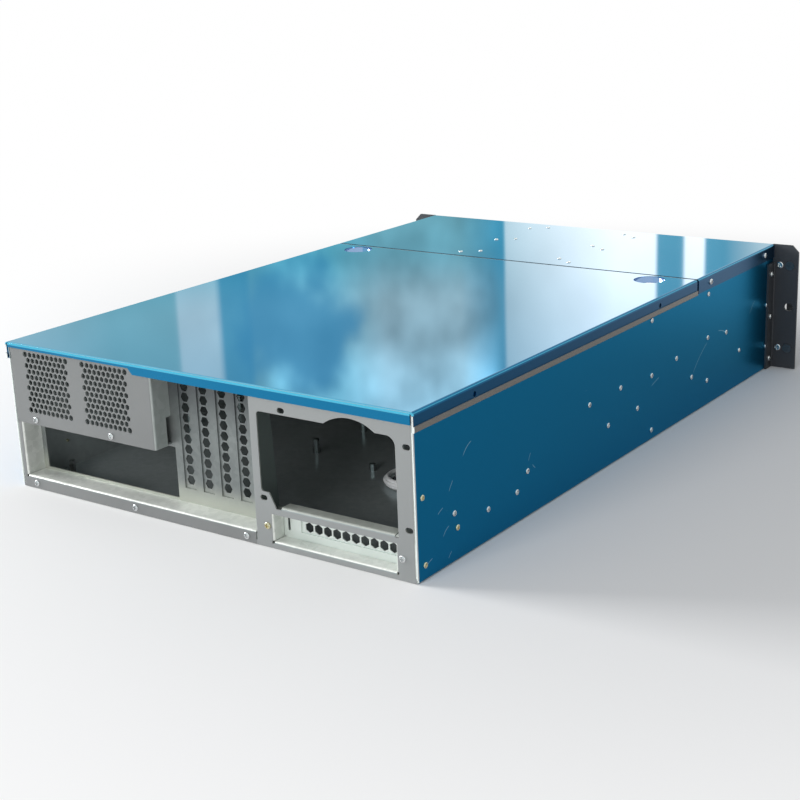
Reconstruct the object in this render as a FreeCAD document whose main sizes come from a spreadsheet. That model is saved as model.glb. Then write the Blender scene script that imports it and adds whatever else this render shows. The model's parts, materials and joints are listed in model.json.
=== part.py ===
"""Empty 3U rackmount server case, 430 mm wide and 660 mm deep behind its ears.

Frame: millimetres, +Z up, the bottom sheet rests at Z = 0. The rear panels face +Y and the
rack ears face -Y. Seen from behind, +X is at the left. The origin is at the bottom centre of
the whole case, handles included.
"""
import FreeCAD, Part
import math
import os

import Sketcher

Vector = FreeCAD.Vector

DRIVING_DIMENSIONS = {
    # The whole case
    "case_width": (430, "over the top cover's side lips"),
    "case_height": (132.5, "3 rack units less the usual gap"),
    "body_depth": (660, "from the rear panels to the back of the ears"),
    "ear_span": (482.6, "19 inch rack panel width"),
    "steel": (1.2, "chassis and panel sheet"),
    "cover_steel": (1.0, "top sheets"),
    "bend": (1.0, "inside radius of a fold"),
    "cover_gap": (0.5, "air between the top sheets' lips and the chassis"),
    "lay_gap": (0.3, "air between the sliding cover and what carries it"),
    # Chassis tub
    "tub_flange": (12, "inward flange along the top of each side wall"),
    "end_flange": (9, "upright flange at the rear of the bottom"),
    "front_flange": (5, "upright flange at the front of the bottom"),
    "relief": (3.2, "height of the corner reliefs at the ends of the tub"),
    # Rear panels
    "side_flange": (15, "flange of a rear panel along the side wall"),
    "edge_bend": (0.6, "inside radius at the rear panels' outer edges"),
    "rear_top": (128.8, "top of the rear panels"),
    "rear_foot": (0.3, "foot of the rear panels"),
    "left_border": (9, "left edge of the case to the recess"),
    "sill": (11.5, "top of the border under the recess"),
    "recess": (20, "depth of the motherboard wall behind the rear panels"),
    "panel_seam": (60.5, "height where the fan plate meets the recess"),
    "fan_plate_end": (170.5, "left edge of the case to the fan plate's folded edge"),
    "psu_plate_start": (273.5, "left edge of the case to the power supply plate"),
    "seam": (0.2, "hairline between two rear panels"),
    # Fan plate perforation
    "fan_screw_pitch": (50, "60 mm fans"),
    "fan_hole": (5, "corner hole diameter"),
    "fan_first": (47.6, "left edge of the case to the first fan's axis"),
    "fan_pitch": (70, "from fan axis to fan axis"),
    "fan_axis": (98.5, "height of the fan axes"),
    "vent_pitch": (5.45, "from one vent hole to the next in a row"),
    "vent_row": (5, "from one row of vent holes to the next"),
    "vent_hole": (4.3, "vent hole across its flats"),
    # Motherboard wall
    "io_edge": (14.4, "left edge of the case to the connector window"),
    "io_sill": (13.8, "height of the connector window's lower edge"),
    "io_width": (158.75, "connector window"),
    "io_height": (44.45, "connector window"),
    "shelf_top": (62, "folded top of the connector wall"),
    "shelf_lip": (8, "upturned lip behind the fan plate"),
    "tall_wall_start": (158, "left edge of the case to the wall's part above its shelf"),
    "slot_first": (187.2, "left edge of the case to the first slot's middle"),
    "slot_pitch": (20.32, "from slot to slot"),
    "slot_width": (12.4, "slot opening"),
    "slot_sill": (24, "height of a slot's lower end"),
    "slot_top": (116, "height of a slot's upper end"),
    "slot_shelf": (121, "top of the fold that the cover tabs sit on"),
    "slot_shelf_reach": (11, "depth of that fold"),
    # Slot covers
    "cover_plate": (0.8, "slot cover sheet"),
    "cover_width": (18.42, "slot cover"),
    "cover_foot": (19.5, "height of a slot cover's lower end"),
    "hex_hole": (7.6, "slot cover vent across its flats"),
    "hex_pitch": (8.95, "from vent to vent along a slot cover"),
    "hex_first": (31.5, "height of the lowest vent"),
    # Power supply plate
    "psu_left": (282, "left edge of the case to the cut-out"),
    "psu_right": (412.5, "left edge of the case to the cut-out's far side"),
    "psu_sill": (36, "height of the shelf lip"),
    "psu_head": (111.8, "height of the cut-out's upper edge"),
    "psu_step": (46.4, "height where the lower left corner is cut off"),
    "psu_slant_top": (289.8, "left edge of the case to the upper end of that corner's slant"),
    "psu_slant_foot": (296.4, "left edge of the case to the lower end of the slant"),
    "psu_lip_start": (301.3, "left edge of the case to the shelf lip"),
    "psu_lip": (11, "depth of the shelf lip"),
    "psu_fan_radius": (41.3, "round part of the cut-out"),
    "psu_fan_across": (371, "left edge of the case to the round part's axis"),
    "psu_fan_height": (77.9, "height of the round part's axis"),
    "psu_corner": (8, "radius of the upper right corner"),
    "psu_screw_across": (284.3, "left edge of the case to the first screw slot"),
    "psu_screw_height": (41.4, "height of the lower screw slots"),
    "psu_screw_span": (138, "lower screw slots"),
    "psu_screw_rise": (64, "from the lower to the upper right screw slot"),
    "psu_screw_step": (22.4, "first screw slot to the upper left one, across"),
    "psu_screw_high": (74, "first screw slot to the upper left one, up"),
    "psu_slot_length": (6.9, "screw slot"),
    "psu_slot_width": (4.4, "screw slot"),
    "inner_flange_top": (23, "depth of the flange beside the motherboard recess, at its top"),
    "inner_flange_foot": (30, "depth of that flange at its foot"),
    # Low slot under the power supply
    "low_left": (292, "left edge of the case to the low window"),
    "low_right": (409.3, "left edge of the case to the low window's far side"),
    "low_sill": (6.2, "height of the low window's lower edge"),
    "low_head": (29, "height of the low window's upper edge"),
    "low_recess": (13, "depth of the low slot's wall"),
    "low_cover_start": (309.2, "left edge of the case to the low slot"),
    "low_cover_end": (407, "left edge of the case to the low slot's far end"),
    "low_cover_sill": (12.4, "height of the low slot's lower edge"),
    "low_cover_head": (22.8, "height of the low slot's upper edge"),
    "low_hex_first": (316.8, "left edge of the case to the first vent"),
    "low_hex_height": (17.7, "height of the vents"),
    "notch_across": (297.3, "left edge of the case to the narrow slot"),
    "notch_width": (2.2, "narrow slot"),
    "notch_foot": (12.2, "height of the narrow slot's round end"),
    "low_wall_top": (30.5, "top of the low slot's wall"),
    # Power supply rest on the side wall
    "rest_start": (38, "behind the rear panels"),
    "rest_length": (122, "along the side wall"),
    "rest_width": (14, "shelf"),
    "rest_leg": (22, "height of the lower edge"),
    # Top cover and front top panel
    "cover_length": (470.5, "behind the rear panels to the cover's front edge"),
    "top_seam": (3.5, "between the cover and the front top panel"),
    "lip_foot": (118.3, "height of the side lips' lower edge"),
    "hem": (3.9, "height of the hem folded up outside a side lip"),
    "rear_lip_high": (128, "height of the rear lip's short stretch"),
    "rear_lip_low": (123, "height of the rear lip's long stretch"),
    "lip_step_start": (148, "left edge of the case to the rear lip's slant"),
    "lip_step_end": (152.5, "left edge of the case to the slant's end"),
    "top_bend": (1.6, "inside radius along the top's edges"),
    "tongue": (14, "reach of the cover's tongue under the front top panel"),
    "tongue_inset": (18, "from the case's edge to the tongue"),
    "dish_radius": (15, "finger dish"),
    "dish_depth": (3.2, "finger dish"),
    "dish_across": (173.5, "middle of the case to a finger dish"),
    "dish_back": (453, "behind the rear panels to a finger dish"),
    "lip_hole": (4.2, "hole for a cover screw"),
    "lip_hole_height": (125, "hole for a cover screw"),
    "lip_hole_back": (79.4, "behind the rear panels to the first cover screw hole"),
    "lip_hole_span": (312, "to the second cover screw hole"),
    # Rack ears, handles
    "ear_steel": (2, "rack ear sheet"),
    "ear_flange": (14, "ear flange along the side wall"),
    "ear_flange_top": (113.5, "height of the ear flange"),
    "ear_corner": (7, "cut off the ear's upper corner"),
    "rack_hole_span": (465.1, "19 inch rack hole columns"),
    "rack_hole_first": (22.2, "height of the lowest rack hole"),
    "rack_unit": (44.45, "one rack unit"),
    "rack_slot_length": (9.5, "rack hole"),
    "rack_slot_width": (8, "rack hole"),
    "handle_rod": (8, "handle bar, square"),
    "handle_reach": (38, "handle in front of the ear"),
    "handle_bend": (4, "inside radius of the handle's bends"),
    "handle_across": (222, "middle of the case to a handle"),
    # Front
    "bay_depth": (174, "drive bay walls"),
    "bay_flange": (14, "drive bay wall flanges"),
    "bay_wall_steel": (1, "drive bay walls"),
    "outer_bay": (157, "case's edge to the wall of an outer drive bay"),
    "centre_bay": (160, "case's edge to the wall of the centre bay"),
    "rivet_inset": (7.2, "bay wall to its rivets"),
    "bay_pitch": (42.6, "from blank to blank"),
    "bay_first": (2.9, "height of the lowest blank"),
    "blank_width": (148.4, "5.25 inch blank"),
    "blank_height": (41.9, "5.25 inch blank"),
    "blank_face": (2, "thickness of a blank's face"),
    "blank_plug": (8, "depth of a blank's rim in its opening"),
    "blank_rim": (4, "face edge to the opening"),
    "plug_gap": (0.3, "air round a blank's rim"),
    "small_blank_width": (101.6, "3.5 inch blank"),
    "small_blank_height": (25.4, "3.5 inch blank"),
    "small_blank_foot": (6, "height of the 3.5 inch blank"),
    "grille_slots": (5, "air slots between the 3.5 inch blank and the controls"),
    "grille_foot": (43, "height of the lowest air slot"),
    "grille_pitch": (9, "from air slot to air slot"),
    "grille_length": (80, "air slot"),
    "grille_width": (4.5, "air slot"),
    "control_foot": (93, "height of the control plate"),
    "control_height": (34, "control plate"),
    "control_width": (100, "control plate"),
    "control_face": (2.5, "control plate thickness"),
    "button_across": (22, "middle of the case to a button"),
    "button_radius": (5, "button cap"),
    "button_gap": (0.3, "air round a button"),
    "button_proud": (2, "button cap in front of the control plate"),
    "button_travel": (1.5, "press of a button"),
    "led_across": (7, "middle of the case to a lamp lens"),
    "led_radius": (2.5, "lamp lens"),
    "board_back": (20, "control board behind the front panel"),
    "board_steel": (1.6, "control board thickness"),
    # Fan wall
    "fan_wall_back": (374, "behind the rear panels"),
    "fan_wall_height": (86, "fan wall"),
    "wall_fan_radius": (38, "opening for an 80 mm fan"),
    "wall_fan_pitch": (100, "from opening to opening"),
    "cord_notch_across": (250, "left edge of the case to the lead's notch"),
    "cord_notch_width": (30, "notch for the lead"),
    "cord_notch_height": (14, "notch for the lead"),
    # Standoffs
    "standoff_height": (13.5, "under the motherboard"),
    "standoff_flats": (5, "across the flats"),
    "standoff_thread": (1.25, "M3 thread core radius"),
    "standoff_bore": (8, "depth of the thread"),
    "board_hole_first": (22, "left edge of the case to the first column"),
    "board_hole_row": (40, "behind the rear panels to the first row"),
    "board_column": (157.48, "first to second column"),
    "board_last_column": (203.2, "first to third column"),
    "board_row": (154.94, "first to second row"),
    "board_last_row": (227.33, "first to third row"),
    "post_across": (254, "left edge of the case to the short post"),
    "post_back": (181, "behind the rear panels to the short post"),
    # Front panel lead
    "coil_radius": (22, "middle of the coil's turns"),
    "coil_width": (9, "band that the turns fill"),
    "coil_height": (9.4, "band that the turns fill"),
    "coil_lift": (0.1, "coil above the floor"),
    "plug_length": (22, "plug"),
    "plug_width": (12, "plug"),
    "plug_height": (7, "plug"),
    "plug_back": (4, "coil's middle to the plug"),
    # Details shared by several pieces
    "middle": (0, "the case's middle plane"),
    "frame_screw_height": (5.5, "screws under the recess"),
    "fan_plate_screw_height": (65, "screws along the fan plate's lower edge"),
    "flange_notch_back": (14.5, "behind the rear panels to the fan plate flange's notch"),
    "flange_notch_top": (85, "height of that notch"),
    "wall_foot": (11, "folded foot of a standing wall"),
    "wall_spare": (5, "low slot wall beyond its window"),
    "window_corner": (1, "corner radius of a punched window"),
    "cover_tongue": (10.2, "lower end of a slot cover"),
    "lip_gap": (1.3, "shelf lip to the cut-out's edge"),
    "ear_screw_first": (11, "height of the lowest ear screw"),
    "ear_screw_pitch": (45.5, "from ear screw to ear screw"),
    "top_screw_back": (500.5, "behind the rear panels to the first front top screw"),
    "top_screw_span": (134, "to the second one"),
    "boss_across": (40, "middle of the case to a boss of the control plate"),
    "boss_radius": (2.5, "boss of the control plate"),
    "switch_width": (6, "switch under a button"),
    "switch_height": (3.8, "switch under a button"),
    "button_flange": (1.4, "button's flange beyond its cap"),
    "button_stem": (2, "button stem radius"),
    "handle_screw": (2, "M4 shank radius"),
    "handle_screw_head": (3.6, "M4 pan head radius"),
    "handle_screw_length": (9, "M4 shank"),
    "thumb_head": (8, "rack thumb screw head"),
    "thumb_radius": (5, "rack thumb screw head"),
    "thumb_shank": (3, "rack thumb screw shank radius"),
    "rivet_first": (490, "behind the rear panels to the first rivet"),
    "rivet_pitch": (71.5, "from rivet to rivet"),
    "rivet_stagger": (11.5, "inner rivets ahead of the outer ones"),
    # Fasteners
    "screw_radius": (1.5, "M3 shank"),
    "screw_head_radius": (2.9, "M3 pan head"),
    "screw_head": (1.5, "M3 pan head"),
    "screw_length": (3.2, "M3 shank below its head"),
    "thread_gap": (0.05, "shank in its hole"),
    "rivet_head_radius": (2.2, "rivet head"),
    "rivet_head": (0.8, "rivet head"),
}

doc = FreeCAD.newDocument("server_case")
sheet = doc.addObject("Spreadsheet::Sheet", "Sizes")
for row, (alias, (value, meaning)) in enumerate(DRIVING_DIMENSIONS.items(), start=1):
    sheet.set(f"A{row}", str(value))
    sheet.setAlias(f"A{row}", alias)
    sheet.set(f"B{row}", meaning)
doc.recompute()


class Size:
    """A length written as an expression on the sheet, so that a feature can be bound to it."""

    def __init__(self, text):
        self.text = text

    def __add__(self, other):
        return Size(f"({self.text} + {written(other)})")

    def __radd__(self, other):
        return Size(f"({written(other)} + {self.text})")

    def __sub__(self, other):
        return Size(f"({self.text} - {written(other)})")

    def __rsub__(self, other):
        return Size(f"({written(other)} - {self.text})")

    def __mul__(self, other):
        return Size(f"({self.text} * {written(other)})")

    __rmul__ = __mul__

    def __truediv__(self, other):
        return Size(f"({self.text} / {written(other)})")

    def __neg__(self):
        return Size(f"(0 - {self.text})")

    @property
    def mm(self):
        return float(sheet.evalExpression(self.text))


def written(value):
    """The expression text of a Size or of a plain number."""
    if isinstance(value, Size):
        return value.text
    return f"({value:.9g})"


def mm(value):
    """The present length in millimetres of a Size or of a plain number."""
    if isinstance(value, Size):
        return value.mm
    return float(value)


class Cells:
    """The driving dimensions by name."""

    def __getattr__(self, alias):
        if alias not in DRIVING_DIMENSIONS:
            raise AttributeError(alias)
        return Size(f"Sizes.{alias}")


S = Cells()


class Drawing:
    """What is drawn in one sketch: its constraints are added together, which solves it once."""

    def __init__(self, sketch):
        self.sketch = sketch
        self.constraints = []
        self.expressions = []

    def addGeometry(self, shape, construction=False):
        return self.sketch.addGeometry(shape, construction)

    def addConstraint(self, constraint):
        self.constraints.append(constraint)
        return len(self.constraints) - 1

    def setExpression(self, path, text):
        self.expressions.append((path, text))

    def finish(self):
        self.sketch.addConstraint(self.constraints)
        for path, text in self.expressions:
            self.sketch.setExpression(path, text)


class Outline:
    """A line of corners in a sketch, each (x, y) or (x, y, rounding radius)."""

    def __init__(self, corners, closed=True):
        self.corners = [corner if len(corner) == 3 else (*corner, 0) for corner in corners]
        self.closed = closed

    def draw(self, sketch):
        places = [Vector(mm(x), mm(y), 0) for x, y, _ in self.corners]
        radii = [mm(radius) for _, _, radius in self.corners]
        count = len(places)
        before = [places[i - 1] for i in range(count)]
        after = [places[(i + 1) % count] for i in range(count)]
        entry = list(places)
        leave = list(places)
        for i in range(count):
            if radii[i] > 0:
                to_last = (before[i] - places[i]).normalize()
                to_next = (after[i] - places[i]).normalize()
                half_turn = (math.pi - to_last.getAngle(to_next)) / 2
                back = radii[i] * math.tan(half_turn)
                entry[i] = places[i] + to_last * back
                leave[i] = places[i] + to_next * back
        lines = {}
        for i in range(count if self.closed else count - 1):
            j = (i + 1) % count
            lines[i] = sketch.addGeometry(Part.LineSegment(leave[i], entry[j]))
        for i in range(count):
            self.join(sketch, i, lines, places, entry, leave, radii)

    def join(self, sketch, i, lines, places, entry, leave, radii):
        """Joins the two lines that meet at a corner and binds the corner to the sheet."""
        x, y, radius = self.corners[i]
        into = lines.get((i - 1) % len(places)) if self.closed or i > 0 else None
        out = lines.get(i)
        if radii[i] <= 0:
            if into is not None and out is not None:
                sketch.addConstraint(Sketcher.Constraint("Coincident", into, 2, out, 1))
            held = (out, 1) if out is not None else (into, 2)
            bind_place(sketch, held, x, y)
            return
        inward = (entry[i] - places[i]) + (leave[i] - places[i])
        reach = math.hypot(radii[i], (entry[i] - places[i]).Length)
        centre = places[i] + inward.normalize() * reach
        start, end = entry[i] - centre, leave[i] - centre
        left_turn = start.x * end.y - start.y * end.x > 0
        if not left_turn:
            start, end = end, start
        first = math.atan2(start.y, start.x)
        last = math.atan2(end.y, end.x)
        if last < first:
            last += 2 * math.pi
        circle = Part.Circle(centre, Vector(0, 0, 1), radii[i])
        arc = sketch.addGeometry(Part.ArcOfCircle(circle, first, last))
        at_entry, at_leave = (1, 2) if left_turn else (2, 1)
        corner = sketch.addGeometry(Part.Point(places[i]), True)
        sketch.addConstraint(Sketcher.Constraint("Tangent", into, 2, arc, at_entry))
        sketch.addConstraint(Sketcher.Constraint("Tangent", arc, at_leave, out, 1))
        sketch.addConstraint(Sketcher.Constraint("PointOnObject", corner, 1, into))
        sketch.addConstraint(Sketcher.Constraint("PointOnObject", corner, 1, out))
        bind(sketch, Sketcher.Constraint("Radius", arc, radii[i]), radius)
        bind_place(sketch, (corner, 1), x, y)


class Disc:
    """A circle in a sketch."""

    def __init__(self, x, y, radius):
        self.x, self.y, self.radius = x, y, radius

    def draw(self, sketch):
        centre = Vector(mm(self.x), mm(self.y), 0)
        circle = sketch.addGeometry(Part.Circle(centre, Vector(0, 0, 1), mm(self.radius)))
        bind(sketch, Sketcher.Constraint("Radius", circle, mm(self.radius)), self.radius)
        bind_place(sketch, (circle, 3), self.x, self.y)


class Polygon:
    """A regular polygon in a sketch by its corner radius, with a corner straight up or aside."""

    def __init__(self, x, y, radius, sides, corner_up=True):
        self.x, self.y, self.radius = x, y, radius
        self.sides = sides
        self.corner_up = corner_up

    def draw(self, sketch):
        centre = Vector(mm(self.x), mm(self.y), 0)
        radius = mm(self.radius)
        rim = sketch.addGeometry(Part.Circle(centre, Vector(0, 0, 1), radius), True)
        first = math.pi / 2 if self.corner_up else 0
        angles = [first + math.tau * step / self.sides for step in range(self.sides + 1)]
        corners = [centre + Vector(math.cos(a), math.sin(a), 0) * radius for a in angles]
        sides = [sketch.addGeometry(Part.LineSegment(*ends)) for ends in zip(corners, corners[1:])]
        for side, following in zip(sides, sides[1:] + sides[:1]):
            sketch.addConstraint(Sketcher.Constraint("Coincident", side, 2, following, 1))
            sketch.addConstraint(Sketcher.Constraint("PointOnObject", side, 1, rim))
        for side in sides[1:]:
            sketch.addConstraint(Sketcher.Constraint("Equal", sides[0], side))
        level = "Vertical" if self.corner_up else "Horizontal"
        sketch.addConstraint(Sketcher.Constraint(level, rim, 3, sides[0], 1))
        bind(sketch, Sketcher.Constraint("Radius", rim, radius), self.radius)
        bind_place(sketch, (rim, 3), self.x, self.y)


class Slot:
    """A slot with round ends in a sketch, along its first axis or upright."""

    def __init__(self, x, y, length, width, upright=False):
        self.x, self.y, self.width = x, y, width
        self.half = (length - width) / 2
        self.upright = upright

    def draw(self, sketch):
        half, radius = mm(self.half), mm(self.width) / 2
        along, side = Vector(1, 0, 0), Vector(0, 1, 0)
        if self.upright:
            along, side = side, -along
        middle = Vector(mm(self.x), mm(self.y), 0)
        near, far = middle - along * half, middle + along * half
        tilt = math.pi / 2 if self.upright else 0
        up = Vector(0, 0, 1)
        lower = sketch.addGeometry(Part.LineSegment(near - side * radius, far - side * radius))
        quarter = math.pi / 2
        far_circle, near_circle = Part.Circle(far, up, radius), Part.Circle(near, up, radius)
        far_end = Part.ArcOfCircle(far_circle, tilt - quarter, tilt + quarter)
        far_arc = sketch.addGeometry(far_end)
        upper = sketch.addGeometry(Part.LineSegment(far + side * radius, near + side * radius))
        near_end = Part.ArcOfCircle(near_circle, tilt + quarter, tilt + 3 * quarter)
        near_arc = sketch.addGeometry(near_end)
        sketch.addConstraint(Sketcher.Constraint("Tangent", lower, 2, far_arc, 1))
        sketch.addConstraint(Sketcher.Constraint("Tangent", far_arc, 2, upper, 1))
        sketch.addConstraint(Sketcher.Constraint("Tangent", upper, 2, near_arc, 1))
        sketch.addConstraint(Sketcher.Constraint("Tangent", near_arc, 2, lower, 1))
        for arc, way in ((far_arc, 1), (near_arc, -1)):
            shift = self.half * way
            x = self.x if self.upright else self.x + shift
            y = self.y + shift if self.upright else self.y
            bind_place(sketch, (arc, 3), x, y)
        bind(sketch, Sketcher.Constraint("Radius", far_arc, radius), self.width / 2)


def bind(sketch, constraint, value):
    number = sketch.addConstraint(constraint)
    sketch.setExpression(f"Constraints[{number}]", written(value))


def bind_place(sketch, point, x, y):
    bind(sketch, Sketcher.Constraint("DistanceX", -1, 1, *point, mm(x)), x)
    bind(sketch, Sketcher.Constraint("DistanceY", -1, 1, *point, mm(y)), y)


def rectangle(x0, x1, y0, y1, radius=0):
    return Outline([(x0, y0, radius), (x1, y0, radius), (x1, y1, radius), (x0, y1, radius)])


def hexagon(x, y, flats, points_up):
    """A hexagon by its size across the flats, with corners up and down or left and right."""
    return Polygon(x, y, flats / math.sqrt(3), 6, points_up)


def folded(line, thickness, inside, bends=None):
    """A folded sheet's section: the line of its outer face, thickened to the given side.

    Every run lies along an axis. inside is 1 where the sheet lies to the left of the line and
    -1 where it lies to the right. bends gives the inside radius of each fold, S.bend if None.
    """
    count = len(line)
    normals = []
    for (x0, y0), (x1, y1) in zip(line, line[1:]):
        run_x, run_y = mm(x1) - mm(x0), mm(y1) - mm(y0)
        if abs(run_x) > abs(run_y):
            normals.append((0, math.copysign(inside, run_x * inside)))
        else:
            normals.append((-math.copysign(inside, run_y * inside), 0))
    bends = bends or [S.bend] * (count - 2)
    outer, inner = [], []
    for i, (x, y) in enumerate(line):
        last = normals[max(i - 1, 0)]
        coming = normals[min(i, count - 2)]
        if i in (0, count - 1):
            across, up = coming if i == 0 else last
            outer_radius = inner_radius = 0
        else:
            across, up = last[0] + coming[0], last[1] + coming[1]
            turn = last[0] * coming[1] - last[1] * coming[0]
            far, near = bends[i - 1] + thickness, bends[i - 1]
            outer_radius, inner_radius = (far, near) if turn * inside > 0 else (near, far)
        outer.append((x, y, outer_radius))
        inner.append((x + thickness * across, y + thickness * up, inner_radius))
    return Outline(outer + inner[::-1])


class Piece:
    """One piece of the case: a body whose features are all bound to the sheet."""

    planes = {"XY": ("XY_Plane", 1), "XZ": ("XZ_Plane", -1), "YZ": ("YZ_Plane", 1)}
    every = []

    def __init__(self, label):
        self.body = doc.addObject("PartDesign::Body", label)
        self.body.Label = label
        Piece.every.append(self.body)

    def sketch(self, plane, at, *outlines):
        """A sketch across the plane at that distance along its normal axis."""
        role, sign = self.planes[plane]
        sketch = self.body.newObject("Sketcher::SketchObject", "sketch")
        for datum in self.body.Origin.OriginFeatures:
            if datum.Role == role:
                sketch.AttachmentSupport = [(datum, "")]
        sketch.MapMode = "FlatFace"
        sketch.setExpression("AttachmentOffset.Base.z", written(at * sign))
        drawing = Drawing(sketch)
        for outline in outlines:
            outline.draw(drawing)
        drawing.finish()
        return sketch

    def feature(self, kind, plane, start, end, outlines):
        profile = self.sketch(plane, (start + end) / 2, *outlines)
        made = self.body.newObject(kind, kind.split("::")[1].lower())
        made.Profile = profile
        made.Midplane = True
        made.setExpression("Length", written(end - start))
        profile.Visibility = False
        return made

    def pad(self, plane, start, end, *outlines):
        return self.feature("PartDesign::Pad", plane, start, end, outlines)

    def pocket(self, plane, start, end, *outlines):
        return self.feature("PartDesign::Pocket", plane, start, end, outlines)

    def rows(self, cut, across, count, up=0, rows=1):
        """Repeats a cut along its sketch's first axis, and in rows along its second."""
        pattern = self.body.newObject("PartDesign::MultiTransform", "pattern")
        steps = []
        ways = [("H_Axis", across, count), ("V_Axis", up, rows)]
        for axis, pitch, number in ways:
            if number > 1:
                step = self.body.newObject("PartDesign::LinearPattern", "step")
                step.Direction = (cut.Profile[0], [axis])
                step.setExpression("Length", written(pitch * (number - 1)))
                step.Occurrences = number
                steps.append(step)
        pattern.Originals = [cut]
        pattern.Transformations = steps
        self.body.Tip = pattern
        return pattern

    def soften(self, kind, size, wanted):
        """Rounds or chamfers the edges for which wanted(edge) is true."""
        doc.recompute()
        tip = self.body.Tip
        names = [f"Edge{n}" for n, edge in enumerate(tip.Shape.Edges, 1) if wanted(edge)]
        made = self.body.newObject(f"PartDesign::{kind}", kind.lower())
        made.Base = (tip, names)
        made.setExpression("Radius" if kind == "Fillet" else "Size", written(size))
        self.body.Tip = made
        return made


# Places that several pieces share
half_width = S.case_width / 2
rear_y = (S.body_depth + S.ear_steel + S.handle_reach - S.cover_gap - S.cover_steel) / 2
front_y = rear_y - S.body_depth
wall_outer = half_width - S.cover_steel - S.cover_gap
wall_inner = wall_outer - S.steel
tub_top = S.case_height - S.cover_steel - S.lay_gap
panel_edge = wall_inner - S.thread_gap
hole_radius = S.screw_radius + S.thread_gap


def from_left(distance):
    """X at a distance from the left edge of the case, seen from behind."""
    return half_width - distance


def behind(distance):
    """Y at a distance into the case from the outer face of the rear panels."""
    return rear_y - distance


fold_reach = S.bend + S.steel
seat_y = behind(S.steel)
front_face = front_y - S.steel
ear_face = front_y - S.ear_steel
cover_back = rear_y + S.cover_gap + S.cover_steel
under_cover = S.case_height - S.cover_steel
plate_foot = S.steel + fold_reach


def chassis_tub():
    """Bottom and both side walls, folded from one sheet."""
    tub = Piece("chassis_tub")
    flange_edge = wall_outer - S.tub_flange
    line = [(flange_edge, tub_top), (wall_outer, tub_top), (wall_outer, 0)]
    line += [(-wall_outer, 0), (-wall_outer, tub_top), (-flange_edge, tub_top)]
    tub.pad("XZ", front_y, rear_y, folded(line, S.steel, -1))
    floor_edge = wall_inner - S.relief
    reach = fold_reach + S.relief
    across = rectangle(-wall_outer - 1, wall_outer + 1, -1, S.relief)
    tub.pocket("XZ", seat_y, rear_y + 1, across)
    for end, flange, inward in ((seat_y, S.end_flange, -1), (front_y, S.front_flange, 1)):
        near, far = (end - reach, end + 1) if inward < 0 else (end - 1, end + reach)
        tub.pocket("XY", -1, S.relief, rectangle(-floor_edge, floor_edge, near, far))
        line = [(end + (reach + 1) * inward, 0), (end, 0), (end, flange)]
        tub.pad("YZ", -floor_edge, floor_edge, folded(line, S.steel, -inward))
    screws = [Disc(from_left(u), S.frame_screw_height, hole_radius) for u in FRAME_SCREWS]
    tub.pocket("XZ", seat_y - S.steel * 2, seat_y + 1, *screws)
    low_end = from_left(S.psu_plate_start)
    relieved = rectangle(-floor_edge - 1, low_end, plate_foot, S.end_flange + 1)
    tub.pocket("XZ", seat_y - reach, seat_y + 1, relieved)
    holes = [Disc(y, z, hole_radius) for y, z in ear_screw_places() + top_screw_places()]
    tub.pocket("YZ", -wall_outer - 1, wall_outer + 1, *holes)


FRAME_SCREWS = (20, 141, 264)
FAN_PLATE_SCREWS = (28, 120)
PSU_PLATE_SCREWS = ((286.6, 18.5),)
LOW_PLATE_SCREWS = ((415.5, 18),)


def ear_screw_places():
    return [(front_y + S.ear_flange / 2, S.ear_screw_first + S.ear_screw_pitch * n) for n in range(3)]


def top_screw_places():
    first = S.top_screw_back
    return [(behind(first + S.top_screw_span * n), S.lip_hole_height) for n in range(2)]


def cover_screw_places():
    return [behind(S.lip_hole_back + S.lip_hole_span * n) for n in range(2)]


def rear_frame():
    """Border left of and under the motherboard recess, with flaps folded in round it."""
    frame = Piece("rear_frame")
    window = from_left(S.left_border)
    flat_edge = window + fold_reach
    flat_top = S.sill - fold_reach
    far = from_left(S.psu_plate_start) + S.seam
    top = S.panel_seam - S.seam
    line = [(rear_y, S.rear_foot), (rear_y, S.sill), (behind(S.recess), S.sill)]
    frame.pad("YZ", far, window - S.lay_gap, folded(line, S.steel, 1))
    screws = [Disc(from_left(u), S.frame_screw_height, hole_radius) for u in FRAME_SCREWS]
    frame.pocket("XZ", seat_y - 1, rear_y + 1, *screws)
    corner = Outline([
        (window - 1, S.rear_foot),
        (panel_edge, S.rear_foot),
        (panel_edge, plate_foot),
        (flat_edge + 1, plate_foot),
        (flat_edge + 1, flat_top),
        (window - 1, flat_top),
    ])
    frame.pad("XZ", seat_y, rear_y, corner)
    line = [(panel_edge, behind(S.side_flange)), (panel_edge, rear_y), (flat_edge, rear_y)]
    frame.pad("XY", plate_foot, S.sill, folded(line, S.steel, 1, [S.edge_bend]))
    line = [(panel_edge, behind(S.side_flange)), (panel_edge, rear_y)]
    line += [(window, rear_y), (window, behind(S.recess))]
    frame.pad("XY", S.sill, top, folded(line, S.steel, 1, [S.edge_bend, S.bend]))


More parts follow.
